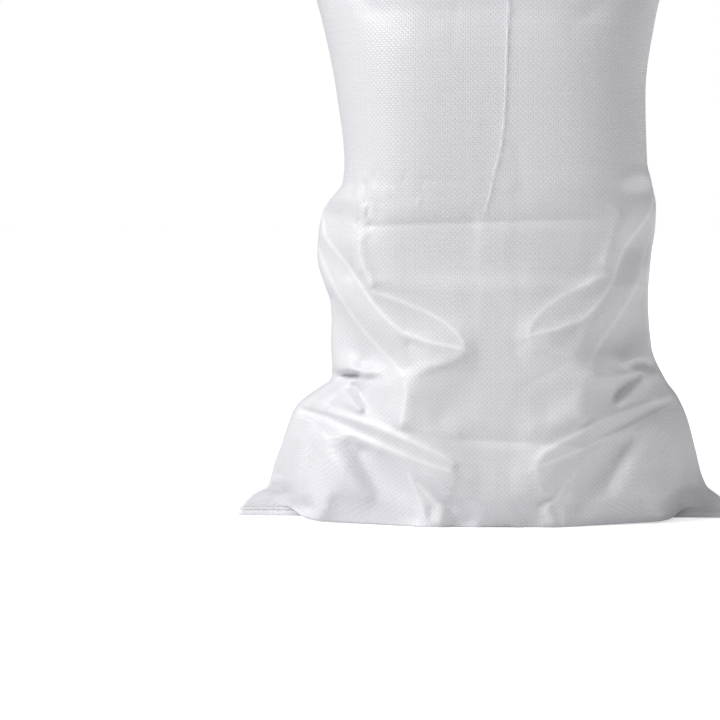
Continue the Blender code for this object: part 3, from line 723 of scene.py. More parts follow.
def face(x, z, name):
    """How far out one face of the sack is."""
    out = plain_face(x, z, 3 if name == "front" else 4)
    for side in ("left", "right"):
        across, up, from_edge, part = corner_places(x, z, name, side)
        rounding = LEAST_ROUNDING + SIDE_ROUNDING * side_forward(up)
        near = np.clip(from_edge / rounding, 0.0, 1.0)
        folded = np.maximum(folded_face(across, up), HEM_HALF) * np.sqrt(1.0 - (1.0 - near) ** 2)
        out = out * (1.0 - part) + folded * part
    pulled = baling(x, z) + creases(x, z, name)
    return np.maximum(out - pulled, np.minimum(out, HEM_HALF))


print("front at the middle, 0.2 up:", round(float(face(np.array([0.0]), np.array([0.2]), "front")[0]), 4))

# %% [markdown]
# Polypropylene turns white where it is bent sharply, because tiny gaps open in the stretched tape, and a
# sharp crest also catches the gloss of the light. In the photograph the crests of the folds are lighter
# than the cloth on both sides of them. So each point of the cloth gets a number that tells how near it is
# to one of the sharp crests, and the cloth's material paints it whiter by that number: partly the
# whitening of the bent tape, partly a painted highlight. It could be found from the curvature of the
# mesh, but the crests have names already.

# %% White crests and painted highlights
WHITE_FOLDS = {
    "ridge one": 1.0, "rim": 0.8, "ridge two": 0.7, "border of the panel": 0.6, "ridge three up": 0.7,
    "ridge three low": 0.7, "small ridge one": 0.6, "toe": 0.8, "front corner": 0.4, "fold edge": 0.4,
}
WHITE_REACH = 0.0019
white_lines = []
for line, strength in WHITE_FOLDS.items():
    spots = np.array([cloth_point(*spot)[:2] for spot in FOLDS[line]])
    white_lines.extend((a, b, strength) for a, b in zip(spots[:-1], spots[1:]))


def whitening_and_painted_highlight(x, z, name):
    """How much whiter the cloth is painted along its sharp folds, from 0 to 1: whitened tape and painted
    highlight.
    """
    white = np.zeros_like(x)
    for side in ("left", "right"):
        across, up, _, part = corner_places(x, z, name, side)
        for (ax, az), (bx, bz), strength in white_lines:
            length = (bx - ax) ** 2 + (bz - az) ** 2
            t = np.clip(((across - ax) * (bx - ax) + (up - az) * (bz - az)) / length, 0.0, 1.0)
            gap = (across - ax - t * (bx - ax)) ** 2 + (up - az - t * (bz - az)) ** 2
            white = np.maximum(white, strength * part * np.exp(-gap / WHITE_REACH**2))
    return white


print(len(white_lines), "stretches of white crest")

# %% [markdown]
# Now the rows become a mesh. It is one closed skin: from the folded edge of the bottom hem, up between
# the faces, out along the floor, up each face, and into the top hem. The rows and columns lie closest
# together where the folds are. An even grid would be simpler, but would need many more points.

# %% Rows and columns
# Columns between one place across the sack and the next, from 0 at its left side to 1 at its right.
COLUMN_BANDS = ((0.0, 0.02, 6), (0.02, 0.46, 92), (0.46, 0.62, 20), (0.62, 0.98, 46), (0.98, 1.0, 6))
# Rows between one height and the next, and how far apart they are.
ROW_BANDS = (
    (0.0, 0.02, 0.0015), (0.02, 0.32, 0.0019), (0.32, 0.38, 0.0023), (0.38, 0.60, 0.0065),
    (0.60, 0.668, 0.0040),
)


def row_levels():
    """The heights of the rows of a face."""
    levels = []
    for low, high, step in ROW_BANDS:
        levels.extend(np.linspace(low, high, int(round((high - low) / step)) + 1)[:-1])
    return np.array(levels + [ROW_BANDS[-1][1]])


def spread_columns():
    """Where the columns lie across the sack, from 0 to 1: closest together on the left."""
    parts = [np.linspace(low, high, count + 1)[:-1] for low, high, count in COLUMN_BANDS]
    return np.concatenate(parts + [[1.0]])


print(len(row_levels()), "rows and", len(spread_columns()), "columns on each face")

# %% [markdown]
# At each end the cloth is folded over and sewn flat. A hem is a short profile, from its folded edge
# inwards, with a groove where the thread lies. The hems could be strips of their own, but on the real
# sack they are the same cloth.

# %% Hems
# The profile of each hem: height from its folded edge, and how far out its face is.
BOTTOM_HEM_PROFILE = (
    (0.0000, 0.0000), (0.0000, 0.0008), (0.0004, 0.0013), (0.0012, 0.0016), (0.0030, 0.0016),
    (0.0050, 0.0015), (0.0062, 0.0013), (0.0074, 0.0013), (0.0085, 0.0015),
)
TOP_HEM_PROFILE = (
    (0.0000, 0.0000), (0.0001, 0.0010), (0.0006, 0.0017), (0.0016, 0.0020), (0.0050, 0.0021),
    (0.0095, 0.0019), (0.0112, 0.0016), (0.0128, 0.0016), (0.0145, 0.0019), (0.0190, 0.0022),
    (0.0205, 0.0022), (0.0209, 0.0017), (0.0225, 0.0016),
)


def hem_rows(profile, reach, edge_z, direction):
    """Rows of a hem, from its folded edge inwards."""
    x = -reach + 2 * reach * spread_columns()
    rows = []
    for rise, out in profile:
        y = np.full_like(x, out)
        y[[0, -1]] = 0.0
        rows.append(np.stack([x, y, np.full_like(x, edge_z + direction * rise)], axis=1))
    return rows


print("hem heights in mm:", [round(p[-1][0] * 1000, 1) for p in (BOTTOM_HEM_PROFILE, TOP_HEM_PROFILE)])

# %% [markdown]
# Under the belly the cloth lies on the floor. Out at the ears it stops above the hem, so that the hem
# and its stitches show there, and the ear and its hem lean back together, which turns them to the light
# as in the photograph. The ears could be pieces of their own, but they are the same cloth, pulled flat.

# %% Belly and ears
# How far the cloth hangs above the floor where it turns under: distance from the middle, height.
BELLY_LIFT = (
    (0.050, 0.0000), (0.068, 0.0002), (0.088, 0.0006), (0.112, 0.0010), (0.140, 0.0012), (0.160, 0.0016),
    (0.178, 0.0018), (0.195, 0.0024), (0.207, 0.0075), (0.215, 0.0105), (0.262, 0.0105),
)
LIFT_ENDS = 0.040
EAR_FROM = 0.190
# An ear leans back: heights, share of the lean there, and how far back it leans at most.
LEAN_HEIGHTS = (0.0, 0.0095, 0.045, 0.130)
LEAN_SHARES = (0.0, 0.30, 1.0, 0.0)
EAR_LEANS_BACK = 0.016
EAR_LEANS_OVER = 0.040
# Above its hem an ear opens only slowly: how much per metre of height, up to which height and over what.
EAR_OPENS = 0.15
EAR_OPENS_TO = 0.020
EAR_OPENS_OVER = 0.020
# Rows under the belly: how many, how near the hem they rise to it, how soon they touch the floor, and
# over what distance they stay off it next to an ear.
UNDER_ROWS = 9
UNDER_RISE = 0.005
UNDER_TOUCHES = 0.025
LIFTED_OVER = 0.02


def at_ear(x):
    """1 on an ear and 0 on the body."""
    return 1.0 - fade(np.abs(x), EAR_FROM, EAR_LEANS_OVER)


def ear_lean(x, z):
    """How far back the cloth leans at an ear."""
    return EAR_LEANS_BACK * np.interp(z, LEAN_HEIGHTS, LEAN_SHARES) * at_ear(x)


def under_rows(lowest):
    """Rows from the hem out along the floor to the lowest row of a face."""
    rows = []
    lifted = 1.0 - fade(np.abs(lowest[:, 0]), EAR_FROM - LIFTED_OVER, LIFTED_OVER)
    for k in range(UNDER_ROWS, 0, -1):
        share = k / UNDER_ROWS
        out = lowest[:, 1] + (np.minimum(HEM_HALF, lowest[:, 1]) - lowest[:, 1]) * share
        hanging = fade(lowest[:, 1] - out, 0.0, UNDER_TOUCHES)
        resting = lowest[:, 2] * (hanging + (1.0 - hanging) * lifted)
        rise = np.clip(1.0 - (out - HEM_HALF) / UNDER_RISE, 0.0, 1.0) ** 2
        z = resting + (BOTTOM_HEM - resting) * rise * share
        rows.append(np.stack([lowest[:, 0], out, z], axis=1))
    return rows


def body_rows(name):
    """Rows of one face, from the floor to the top hem."""
    spread = spread_columns()
    bottom_x = BOTTOM_HEM_REACH * np.abs(2 * spread - 1)
    lift = np.interp(bottom_x, *zip(*BELLY_LIFT))
    rows = []
    for level in row_levels():
        z = level + lift * np.clip(1.0 - level / LIFT_ENDS, 0.0, 1.0)
        left = left_edge(z)
        x = -left + (left + right_edge(z)) * spread
        out = face(x, z, name)
        thin = HEM_HALF + EAR_OPENS * np.maximum(z - BOTTOM_HEM, 0.0)
        near_hem = fade(z, EAR_OPENS_TO, EAR_OPENS_OVER) * at_ear(x)
        out += (np.minimum(out, thin) - out) * near_hem
        out[[0, -1]] = 0.0
        rows.append(np.stack([x, out, z], axis=1))
    return rows


print("an ear leans back by", EAR_LEANS_BACK * 1000, "mm at most")

# %% [markdown]
# A face is its bottom hem, the rows along the floor, its body and its top hem, one after another. The
# back could be the front turned round, but the two faces of a real sack never fold quite alike, so the
# same function makes each from its own numbers.


# %% Front and back
def face_grid(name):
    """One face as rows of points, and where its body starts and ends among them."""
    body = body_rows(name)
    bottom = hem_rows(BOTTOM_HEM_PROFILE, BOTTOM_HEM_REACH, 0.0, 1.0)
    top = hem_rows(TOP_HEM_PROFILE, TOP_HEM_REACH, SACK_TOP, -1.0)
    grid = np.array(bottom + under_rows(body[0]) + body + top[::-1])
    sign = -1.0 if name == "front" else 1.0
    grid = grid * np.array((1.0, sign, 1.0)) + np.array((0.0, strand_shift, 0.0))
    grid[:, :, 1] += ear_lean(grid[:, :, 0], grid[:, :, 2])
    return grid, len(bottom), len(grid) - len(top)


grids = {}
for name in ("front", "back"):
    grids[name], BODY_START, BODY_END = face_grid(name)
    across = np.linalg.norm(np.diff(grids[name], axis=1), axis=2).sum(axis=1)[BODY_START:BODY_END]
    shortest, longest = round(float(across.min()), 3), round(float(across.max()), 3)
    print(name, grids[name].shape[:2], "points, rows", shortest, "to", longest, "m long")

# %% [markdown]
# Each corner of each mesh face also gets a place on the flat cloth: how far across it is from the
# middle and how far up, measured along the rows and columns. The weave is drawn from these places, so
# it lies on the folds as it does on real cloth. Up and down it is measured from a level where the sack
# is smooth. The hems are measured on their own, as the cloth is folded back there.

# %% Cloth mesh
TAPE_PITCH = 0.00254
SMOOTH_LEVEL = 0.36


def cloth_places(grid):
    """How far across the flat cloth and how far up it each point of a face is."""
    steps = np.linalg.norm(np.diff(grid, axis=1), axis=2)
    across = np.concatenate([np.zeros((len(grid), 1)), np.cumsum(steps, axis=1)], axis=1)
    middle = np.array([np.interp(0.0, row[:, 0], run) for row, run in zip(grid, across)])
    rise = np.linalg.norm(np.diff(grid, axis=0), axis=2)
    up = np.concatenate([np.zeros((1, grid.shape[1])), np.cumsum(rise, axis=0)])
    levels = grid[BODY_START:BODY_END, grid.shape[1] // 2, 2]
    smooth_row = BODY_START + UNDER_ROWS + int(np.argmin(np.abs(levels[UNDER_ROWS:] - SMOOTH_LEVEL)))
    up = up - up[smooth_row]
    up[:BODY_START] = grid[:BODY_START, :, 2]
    up[BODY_END:] = grid[BODY_END:, :, 2]
    return across - middle[:, None], up


def corners_of(table):
    """The four corners of every cell of a table, anticlockwise."""
    return np.stack([table[:-1, :-1], table[:-1, 1:], table[1:, 1:], table[1:, :-1]], axis=2)


def join_faces(grids):
    """One closed mesh of both faces, which share their outlines, with the places as a UV map."""
    rows, columns = grids["front"].shape[:2]
    front_ids = np.arange(rows * columns).reshape(rows, columns)
    back_ids = front_ids.copy()
    inner = (rows - 2) * (columns - 2)
    back_ids[1:-1, 1:-1] = rows * columns + np.arange(inner).reshape(rows - 2, columns - 2)
    points = np.concatenate([grids["front"].reshape(-1, 3), grids["back"][1:-1, 1:-1].reshape(-1, 3)])
    faces, places = [], []
    for name, ids in (("front", front_ids), ("back", back_ids)):
        spots = np.stack(cloth_places(grids[name]), axis=2)
        quads = corners_of(ids).reshape(-1, 4)
        cells = np.stack([corners_of(spots[:, :, k]) for k in (0, 1)], axis=3).reshape(-1, 4, 2)
        if name == "back":
            quads, cells = quads[:, ::-1], cells[:, ::-1]
        faces.append(quads)
        places.append(cells)
    mesh = bpy.data.meshes.new("woven_sack")
    mesh.from_pydata(points.tolist(), [], np.concatenate(faces).tolist())
    # How much whiter each point is painted on the sharp crests: whitened tape and painted highlight.
    white = [whitening_and_painted_highlight(grids[name][:, :, 0], grids[name][:, :, 2], name) for name in ("front", "back")]
    white[1] = white[1][1:-1, 1:-1]
    stretched = mesh.attributes.new("crest_white_and_painted_highlight", "FLOAT", "POINT")
    stretched.data.foreach_set("value", np.concatenate([w.ravel() for w in white]).astype(np.float32))
    layer = mesh.uv_layers.new(name="tapes")
    layer.uv.foreach_set("vector", np.concatenate(places).astype(np.float32).ravel())
    mesh.polygons.foreach_set("use_smooth", np.ones(len(mesh.polygons), bool))
    return mesh


def add_object(mesh):
    """A mesh as an object of the scene."""
    made = bpy.data.objects.new(mesh.name, mesh)
    bpy.context.scene.collection.objects.link(made)
    return made


sack = add_object(join_faces(grids))
print("woven sack:", len(sack.data.polygons), "faces, repaired:", sack.data.validate())

# %% [markdown]
# The threads and the frayed strand are all tubes. Each could be a curve with a bevel, but a small
# function that sweeps a ring of points along a path gives the same tube, and can also make the strand's
# flat section that turns.

# %% A tube along a path
TUBE_SIDES = 8
# A path that runs this much to the front or back needs another direction to measure its sides from.
FRONT_TO_BACK_SHARE = 0.9


def tube(name, path, half_width, half_thickness, turn=0.0, sides=TUBE_SIDES):
    """A closed tube along a path. Widths and turn are one number or one for each point."""
    path = np.asarray(path, float)
    count = len(path)
    forward = np.gradient(path, axis=0)
    forward /= np.linalg.norm(forward, axis=1)[:, None]
    level = abs(forward[:, 1]).mean() < FRONT_TO_BACK_SHARE
    reference = np.array((0.0, 1.0, 0.0) if level else (1.0, 0.0, 0.0))
    across = np.cross(forward, reference)
    across /= np.linalg.norm(across, axis=1)[:, None]
    normal = np.cross(across, forward)
    angles = np.linspace(0.0, 2 * pi, sides, endpoint=False)
    half_width, half_thickness = np.broadcast_to(half_width, count), np.broadcast_to(half_thickness, count)
    turn = np.broadcast_to(turn, count)
    flat = half_width[:, None] * np.cos(angles)
    thick = half_thickness[:, None] * np.sin(angles)
    c, s = np.cos(turn)[:, None], np.sin(turn)[:, None]
    side_part = (flat * c - thick * s)[:, :, None] * across[:, None]
    out_part = (flat * s + thick * c)[:, :, None] * normal[:, None]
    points = (path[:, None] + side_part + out_part).reshape(-1, 3)
    ring = np.arange(sides)
    faces = []
    for k in range(count - 1):
        low, high = k * sides + ring, (k + 1) * sides + ring
        faces.extend(np.stack([low, np.roll(low, -1), np.roll(high, -1), high], axis=1).tolist())
    faces.append(ring[::-1].tolist())
    faces.append((ring + (count - 1) * sides).tolist())
    mesh = bpy.data.meshes.new(name)
    mesh.from_pydata(points.tolist(), [], faces)
    mesh.polygons.foreach_set("use_smooth", np.ones(len(mesh.polygons), bool))
    return mesh


def join_meshes(name, meshes):
    """Several meshes as one."""
    points, faces = [], []
    for mesh in meshes:
        offset = len(points)
        points.extend(tuple(v.co) for v in mesh.vertices)
        faces.extend([offset + v for v in face.vertices] for face in mesh.polygons)
    made = bpy.data.meshes.new(name)
    made.from_pydata(points, [], faces)
    made.polygons.foreach_set("use_smooth", np.ones(len(made.polygons), bool))
    return made


print("a tube has", TUBE_SIDES, "sides")

# %% [markdown]
# A bag is closed with a sewing machine that leaves a row of straight stitches on the front of the hem
# and a chain of loops on the back. A line of thread in the bump of the cloth would be less work, but
# real stitches cast their own small shadows. The bottom ones lean back with the ears.

# %% Stitches and loops
THREAD_RADIUS = 0.00035
THREAD_STEP = 0.0005
THREAD_END = 0.0005
STITCH_PITCH = 0.0084
# A needle hole takes this share of a stitch, and the thread goes in this deep there.
HOLE_SHARE = 0.10
HOLE_DEPTH = 0.0011
LOOP_DEPTH = 0.0003
LOOP_HALF_WIDTH = 0.0009
LOOP_SIDES = 6


def thread_places(node):
    """x along a thread's node, and its y and z."""
    low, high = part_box(node)
    x = np.arange(low.x + THREAD_END, high.x - THREAD_END, THREAD_STEP)
    z = (low.z + high.z) / 2
    return x, (low.y + high.y) / 2 + ear_lean(x, z), z


def needle_thread(node):
    """Straight stitches that dip into the cloth at each needle hole."""
    x, y, z = thread_places(node)
    phase = (x - x[0]) / STITCH_PITCH % 1.0
    hole = np.exp(-((np.minimum(phase, 1.0 - phase) / HOLE_SHARE) ** 2))
    inward = 1.0 if y[len(y) // 2] < strand_shift else -1.0
    path = np.stack([x, y + inward * HOLE_DEPTH * hole, np.full_like(x, z)], axis=1)
    return tube(node.replace("_thread", "_stitches"), path, THREAD_RADIUS, THREAD_RADIUS)


def looper_thread(node):
    """Two strands that cross once in every stitch, as a chain of loops."""
    x, y, z = thread_places(node)
    wave = (x - x[0]) / STITCH_PITCH * pi
    strands = []
    for sign in (-1.0, 1.0):
        out, up = LOOP_DEPTH * sign * np.cos(wave), LOOP_HALF_WIDTH * sign * np.sin(wave)
        path = np.stack([x, y + out, z + up], axis=1)
        strands.append(tube("strand", path, THREAD_RADIUS, THREAD_RADIUS, sides=LOOP_SIDES))
    return join_meshes(node.replace("_thread", "_loops"), strands)


threads = {}
for hem in ("bottom", "top"):
    for kind, make in (("needle", needle_thread), ("looper", looper_thread)):
        node = hem + "_" + kind + "_thread"
        threads[node] = add_object(make(node))
        print(node, "->", threads[node].name, len(threads[node].data.polygons), "faces")

# %% [markdown]
# The frayed strand is a single woven tape that has split lengthwise and curled, so it is narrow, flat
# and twisted, and its end parts into two thin fibres. A flat ribbon would be simpler, but a curled tape
# has some thickness wherever it is seen from.

# %% The frayed strand
FRAY_TURNS = 9.0
# The curl isn't even: it runs ahead and falls behind in a sine wave. How many radians of that wave there
# are along the strand, and by how many radians it moves the curl.
CURL_WAVES = 9.0
CURL_UNEVEN = 1.5
STRAND_THINS = 0.35
HEADING_STEPS = 5

steps = np.linspace(0.0, 1.0, len(strand_path))
thinning = 1.0 - STRAND_THINS * steps**3
curl = 2 * pi * FRAY_TURNS * steps + CURL_UNEVEN * np.sin(CURL_WAVES * steps)
strand = add_object(
    tube("frayed_tape", strand_path, STRAND_WIDTH / 2 * thinning, STRAND_THICKNESS / 2 * thinning, curl)
)

# The two fibres at the end: which side each goes to, and how far it then bends, in metres.
FIBRES = ((-1.0, 0.0014), (1.0, -0.0006))
FIBRE_POINTS = 20
FIBRE_LENGTH = 0.016
FIBRE_RADIUS = 0.00025
FIBRE_THINS = 0.6
FIBRE_SIDES = 6
FIBRE_STARTS_INSIDE = 0.002
FIBRE_SPREAD = 0.0022
FIBRE_LIFT = 0.0006

fibres = []
end, before = strand_path[-1], strand_path[-1 - HEADING_STEPS]
heading = (end - before) / np.linalg.norm(end - before)
t = np.linspace(0.0, 1.0, FIBRE_POINTS)[:, None]
radius = FIBRE_RADIUS * (1.0 - FIBRE_THINS * t[:, 0])
for side, bend in FIBRES:
    spread = np.array((side * FIBRE_SPREAD, -FIBRE_LIFT, 0.0)) * t**1.5
    bent = np.array((bend, 0.0, 0.0)) * t**3
    route = end - heading * FIBRE_STARTS_INSIDE + heading * FIBRE_LENGTH * t + spread + bent
    fibres.append(tube("fibre", route, radius, radius, sides=FIBRE_SIDES))
frayed_end = add_object(join_meshes("frayed_end", fibres))
print("frayed tape", len(strand.data.polygons), "faces, end fibres", len(frayed_end.data.polygons))

# %% [markdown]
# The cloth is polypropylene: a film that was slit into tapes 2.5 mm wide, stretched and woven one over,
# one under. To the eye that gives a fine checkerboard, because the upright tapes and the level ones
# catch the light from different sides, a soft plastic gloss, and small dark pinholes where four tapes
# meet. An image could hold this, but here it is worked out from each point's place on the cloth, so it
# stays sharp at any distance. First comes which tape lies on top.

# %% Which tape lies on top
cloth_material, tree = new_material("woven_polypropylene")
place = add_node(tree, "UVMap", {"uv_map": "tapes"})
scaled = add_node(tree, "VectorMath", {"operation": "SCALE"}, _0=place, Scale=1 / TAPE_PITCH)
whole = add_node(tree, "VectorMath", {"operation": "FLOOR"}, _0=scaled)
inside = add_node(tree, "VectorMath", {"operation": "FRACTION"}, _0=scaled)
tape = add_node(tree, "SeparateXYZ", _0=whole)
spot = add_node(tree, "SeparateXYZ", _0=inside)

# 1 where the level tape lies on top, 0 where the upright one does.
total = add_node(tree, "Math", {"operation": "ADD"}, _0=tape.outputs[0], _1=tape.outputs[1])
weft_on_top = add_node(tree, "Math", {"operation": "FLOORED_MODULO"}, _0=total, _1=2.0)

print("tapes across one face:", round(2 * BOTTOM_HEM_REACH / TAPE_PITCH))

# %% [markdown]
# No tape is quite like the next, so each gets its own slight shade, and the level tapes are painted a
# little darker than the upright ones: painted shade, as the light from the side falls more on the upright
# tapes. The pinholes could be cut into the mesh, but a real one is finer than a pixel, so a darker spot
# does as well. It is drawn wider than a real one, because it has to show.

# %% Shades of the tapes and pinholes
# How dark a level tape is painted: painted shade, because the light from the side falls less on it.
WEFT_PAINTED_SHADE = 0.93
TAPE_VARIATION = 0.035
WEFT_SEED = 977.5
PINHOLE_SHADE = 0.72
PINHOLE_REACH = 0.16

warp_noise = add_node(tree, "TexWhiteNoise", {"noise_dimensions": "1D"}, W=tape.outputs[0])
weft_seed = add_node(tree, "Math", {"operation": "ADD"}, _0=tape.outputs[1], _1=WEFT_SEED)
weft_noise = add_node(tree, "TexWhiteNoise", {"noise_dimensions": "1D"}, W=weft_seed)
warp_shade = add_node(
    tree, "MapRange", None, Value=warp_noise.outputs["Value"], To_Min=1.0 - TAPE_VARIATION, To_Max=1.0
)
# A level tape: its own random shade, times the painted shade.
weft_tone_and_painted_shade = add_node(
    tree, "MapRange", None, Value=weft_noise.outputs["Value"],
    To_Min=WEFT_PAINTED_SHADE - TAPE_VARIATION, To_Max=WEFT_PAINTED_SHADE,
)
shade = add_node(tree, "Mix", None, _0=weft_on_top, _2=warp_shade, _3=weft_tone_and_painted_shade)

# Pinholes: only near a corner of its cell is a point far from the middle both ways.
from_middle_u = add_node(tree, "Math", {"operation": "SUBTRACT"}, _0=spot.outputs[0], _1=0.5)
from_middle_v = add_node(tree, "Math", {"operation": "SUBTRACT"}, _0=spot.outputs[1], _1=0.5)
to_side_u = add_node(tree, "Math", {"operation": "ABSOLUTE"}, _0=from_middle_u)
to_side_v = add_node(tree, "Math", {"operation": "ABSOLUTE"}, _0=from_middle_v)
nearest = add_node(tree, "Math", {"operation": "MINIMUM"}, _0=to_side_u, _1=to_side_v)
pinhole = add_node(
    tree, "MapRange", {"interpolation_type": "SMOOTHSTEP"}, Value=nearest,
    From_Min=0.5 - PINHOLE_REACH, From_Max=0.5, To_Min=1.0, To_Max=PINHOLE_SHADE,
)
shaded = add_node(tree, "Math", {"operation": "MULTIPLY"}, _0=shade.outputs[0], _1=pinhole)
woven = add_node(tree, "VectorMath", {"operation": "SCALE"}, _0=linear(CLOTH_WHITE)[:3], Scale=shaded)

print("a level tape's shade is", WEFT_PAINTED_SHADE, "and a pinhole's", PINHOLE_SHADE)

# %% [markdown]
# Polypropylene reflects about as much as any plastic, and tape that was stretched is neither matt nor
# quite glossy. Each tape arches over the one under it. The arch could be part of the mesh, but it would
# take millions of points, so a bump does it, higher than the real twentieth of a millimetre, because it
# has to show.

# %% Woven polypropylene
TAPE_BUMP = 0.00022
TAPE_BUMP_STRENGTH = 0.8
CLOTH_ROUGHNESS = 0.36
POLYPROPYLENE_IOR = 1.49

# Sharp folds have stretched the tapes, which turns them white and closes the pinholes, and the same white
# paints a highlight on the crests.
crest_white_and_highlight = add_node(tree, "Attribute", {"attribute_name": "crest_white_and_painted_highlight"})
colour = add_node(
    tree, "MixRGB", None, Fac=crest_white_and_highlight.outputs["Fac"], Color1=woven, Color2=linear(CREST_WHITE_AND_HIGHLIGHT)
)

# Height of the tape on top: it arches over the one under it.
along_tape = add_node(tree, "Mix", None, _0=weft_on_top, _2=from_middle_v, _3=from_middle_u)
arch_angle = add_node(tree, "Math", {"operation": "MULTIPLY"}, _0=along_tape.outputs[0], _1=pi)
arch = add_node(tree, "Math", {"operation": "COSINE"}, _0=arch_angle)
bump = add_node(tree, "Bump", None, Strength=TAPE_BUMP_STRENGTH, Distance=TAPE_BUMP, Height=arch)

shader = add_node(
    tree, "BsdfPrincipled", None, Base_Color=colour, Roughness=CLOTH_ROUGHNESS, IOR=POLYPROPYLENE_IOR,
    Normal=bump,
)
add_node(tree, "OutputMaterial", None, Surface=shader)
sack.data.materials.append(cloth_material)
print("height of a tape's arch:", TAPE_BUMP * 1000, "mm")

# %% [markdown]
# Sewing thread is spun polyester: two plies twisted together, matt and a little warmer than the cloth.
# An image of thread could be wrapped round it, but here the twist is a slanted stripe with just under a
# millimetre of pitch, a bump with painted shade in the groove between the plies, worked out from the
# object's own coordinates, so it needs no unwrapping.

# %% Spun polyester thread
PLY_PITCH = 0.0009
PLY_SLANT = 0.8
# How dark the groove between the plies is painted: painted shade.
PLY_GROOVE_PAINTED_SHADE = 0.88
PLY_BUMP = 0.00008
PLY_BUMP_STRENGTH = 0.7
THREAD_ROUGHNESS = 0.78
POLYESTER_IOR = 1.57

thread_material, tree = new_material("spun_polyester")
place = add_node(tree, "TexCoord")
axes = add_node(tree, "SeparateXYZ", _0=place.outputs["Object"])
slanted = add_node(
    tree, "Math", {"operation": "MULTIPLY_ADD"}, _0=axes.outputs[2], _1=PLY_SLANT, _2=axes.outputs[0]
)
plies = add_node(tree, "Math", {"operation": "MULTIPLY"}, _0=slanted, _1=2 * pi / PLY_PITCH)
ply = add_node(tree, "Math", {"operation": "SINE"}, _0=plies)
# The stripe is painted darker where the bump is low, in the groove between the plies: painted shade.
ply_groove_painted_shade = add_node(
    tree, "MapRange", None, Value=ply, From_Min=-1.0, From_Max=1.0, To_Min=PLY_GROOVE_PAINTED_SHADE, To_Max=1.0
)
colour = add_node(tree, "VectorMath", {"operation": "SCALE"}, _0=linear(THREAD_WHITE)[:3], Scale=ply_groove_painted_shade)
bump = add_node(tree, "Bump", None, Strength=PLY_BUMP_STRENGTH, Distance=PLY_BUMP, Height=ply)
shader = add_node(
    tree, "BsdfPrincipled", None, Base_Color=colour, Roughness=THREAD_ROUGHNESS, IOR=POLYESTER_IOR,
    Normal=bump,
)
add_node(tree, "OutputMaterial", None, Surface=shader)
for piece in threads.values():
    piece.data.materials.append(thread_material)
print("thread plies every", PLY_PITCH * 1000, "mm")

# %% [markdown]
# The frayed tape is the same polypropylene, but it has split into fibres along its length. That makes
# it brighter and streaky, with fine lines that run along it. Each fibre could be a tube of its own, but
# they are finer than a pixel, so noise that is stretched along the tape does as well.

# %% Split polypropylene tape
STREAK_SIZE = 0.0004
STREAK_STRETCH = 10
STREAK_DETAIL = 2.0
STREAK_LOW, STREAK_HIGH = 0.3, 0.7
STREAK_SHADE = 0.92
STREAK_BUMP = 0.0001
STREAK_BUMP_STRENGTH = 0.5
TAPE_ROUGHNESS = 0.35

tape_material, tree = new_material("split_polypropylene")
place = add_node(tree, "TexCoord")
stretched = add_node(
    tree, "VectorMath", {"operation": "MULTIPLY"}, _0=place.outputs["Object"],
    _1=(1 / STREAK_SIZE, 1 / STREAK_SIZE, 1 / STREAK_SIZE / STREAK_STRETCH),
)
streaks = add_node(tree, "TexNoise", None, Vector=stretched, Scale=1.0, Detail=STREAK_DETAIL)
streak_shade = add_node(
    tree, "MapRange", None, Value=streaks.outputs[0], From_Min=STREAK_LOW, From_Max=STREAK_HIGH,
    To_Min=STREAK_SHADE, To_Max=1.0,
)
colour = add_node(tree, "VectorMath", {"operation": "SCALE"}, _0=linear(TAPE_WHITE)[:3], Scale=streak_shade)
bump = add_node(
    tree, "Bump", None, Strength=STREAK_BUMP_STRENGTH, Distance=STREAK_BUMP, Height=streaks.outputs[0]
)
shader = add_node(
    tree, "BsdfPrincipled", None, Base_Color=colour, Roughness=TAPE_ROUGHNESS, IOR=POLYPROPYLENE_IOR,
    Normal=bump,
)
add_node(tree, "OutputMaterial", None, Surface=shader)
for piece in (strand, frayed_end):
    piece.data.materials.append(tape_material)
print("streaks about", STREAK_SIZE * 1000, "mm wide")

# %% [markdown]
# The photograph has no floor, only white. A wide pale floor of matt paint and a white sky keep that
# look. The sky that lights the sack is dimmer than the one the camera sees, because the folds need their
# shade, and the floor glows a little for the camera, so that it meets the sky without a line.

# %% Floor and sky
FLOOR_HALF = 60.0
FLOOR_GLOW = 0.04
FLOOR_SEEN_GLOW = 0.53
FLOOR_ROUGHNESS = 0.9
SKY_LIGHT = 0.33
SKY_WHITE = "#FFFFFF"

floor_corners = [(x * FLOOR_HALF, y * FLOOR_HALF, 0.0) for x, y in ((-1, -1), (1, -1), (1, 1), (-1, 1))]
floor_mesh = bpy.data.meshes.new("floor")
floor_mesh.from_pydata(floor_corners, [], [(0, 1, 2, 3)])
floor = add_object(floor_mesh)
floor_material, tree = new_material("matt_paint")
who_looks = add_node(tree, "LightPath")
paint = add_node(tree, "BsdfDiffuse", None, Color=linear(FLOOR_WHITE), Roughness=FLOOR_ROUGHNESS)
glow_share = add_node(
    tree, "Math", {"operation": "MULTIPLY_ADD"},
    _0=who_looks.outputs["Is Camera Ray"], _1=FLOOR_SEEN_GLOW, _2=FLOOR_GLOW,
)
glow = add_node(tree, "Emission", None, Color=linear(SKY_WHITE), Strength=glow_share)
both = add_node(tree, "AddShader", None, _0=paint, _1=glow)
add_node(tree, "OutputMaterial", None, Surface=both)
floor.data.materials.append(floor_material)

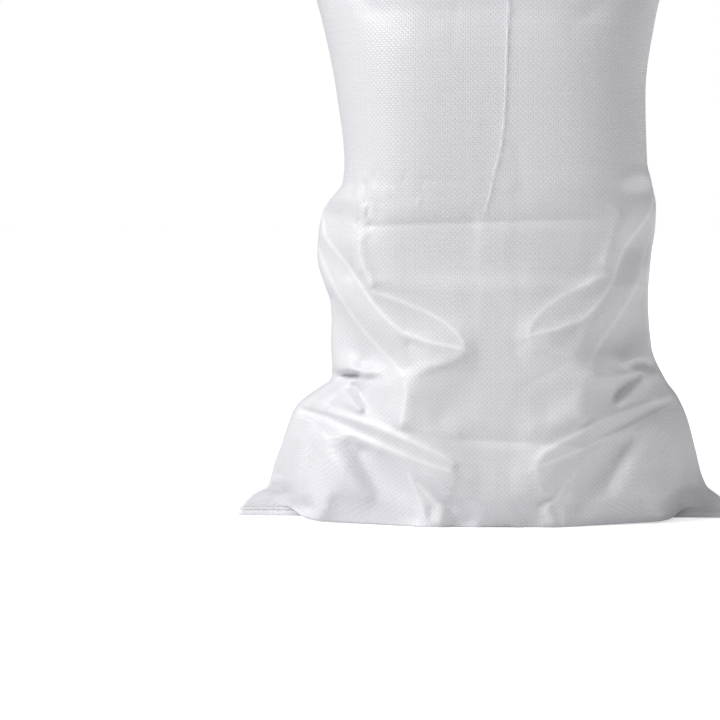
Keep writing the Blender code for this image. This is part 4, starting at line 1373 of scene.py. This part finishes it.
world = bpy.data.worlds.new("sky")
world.use_nodes = True
world.node_tree.nodes.clear()
tree = world.node_tree
who_looks = add_node(tree, "LightPath")
sky = add_node(tree, "Background", None, Color=linear(SKY_WHITE), Strength=SKY_LIGHT)
seen = add_node(tree, "Background", None, Color=linear(SKY_WHITE), Strength=1.0)
both = add_node(tree, "MixShader", None, _0=who_looks.outputs["Is Camera Ray"], _1=sky, _2=seen)
add_node(tree, "OutputWorld", None, Surface=both)
bpy.context.scene.world = world
print("floor half side", FLOOR_HALF, "m")

# %% [markdown]
# One broad soft light stands high on the left and a little in front, where the photograph's bright
# folds face. A lamp with a soft box would do the same, but a sun lamp with a wide disc lights every view
# alike. The sky fills the shade, so no second light is needed. The picture is shown with the plain sRGB
# curve, because a film curve would turn the white cloth grey.

# %% Light
TOWARDS_KEY = (-0.68, -0.38, 0.62)
KEY_STRENGTH = 2.56
KEY_WIDTH_DEGREES = 36.0

key_data = bpy.data.lights.new("soft_key", "SUN")
key_data.energy = KEY_STRENGTH
key_data.angle = KEY_WIDTH_DEGREES * pi / 180
soft_key = bpy.data.objects.new("soft_key", key_data)
soft_key.rotation_euler = Vector(TOWARDS_KEY).to_track_quat("Z", "Y").to_euler()
bpy.context.scene.collection.objects.link(soft_key)
print("soft key light: strength", KEY_STRENGTH, "and", KEY_WIDTH_DEGREES, "degrees wide")
bpy.context.scene.view_settings.view_transform = "Standard"
bpy.context.scene.view_settings.look = "None"

# %% [markdown]
# Now every piece is hung on the frame's root, and the solid of the frame that it stands for is hidden. The
# floor is marked as the backdrop. A table could hold all this, but a call for each fact is plain to read.

# %% Pieces and their solids
floor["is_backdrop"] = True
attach(sack, "root")
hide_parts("sack")
for node, piece in threads.items():
    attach(piece, "root")
    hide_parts(node)
for piece in (strand, frayed_end):
    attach(piece, "root")
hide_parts("loose_tape")
print("pieces:", [piece.name for piece in (sack, *threads.values(), strand, frayed_end)])

# %% [markdown]
# Last, the box round the plain solids and the box round what this lesson made are written down. They
# could be compared by eye, but numbers show a millimetre.

# %% Size
low, high = (list(corner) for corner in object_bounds())
for axis, a, b, c, d in zip("xyz", CAD_LOW, CAD_HIGH, low, high):
    print(axis, "solids", round(a, 4), round(b, 4), "visual", round(c, 4), round(d, 4))
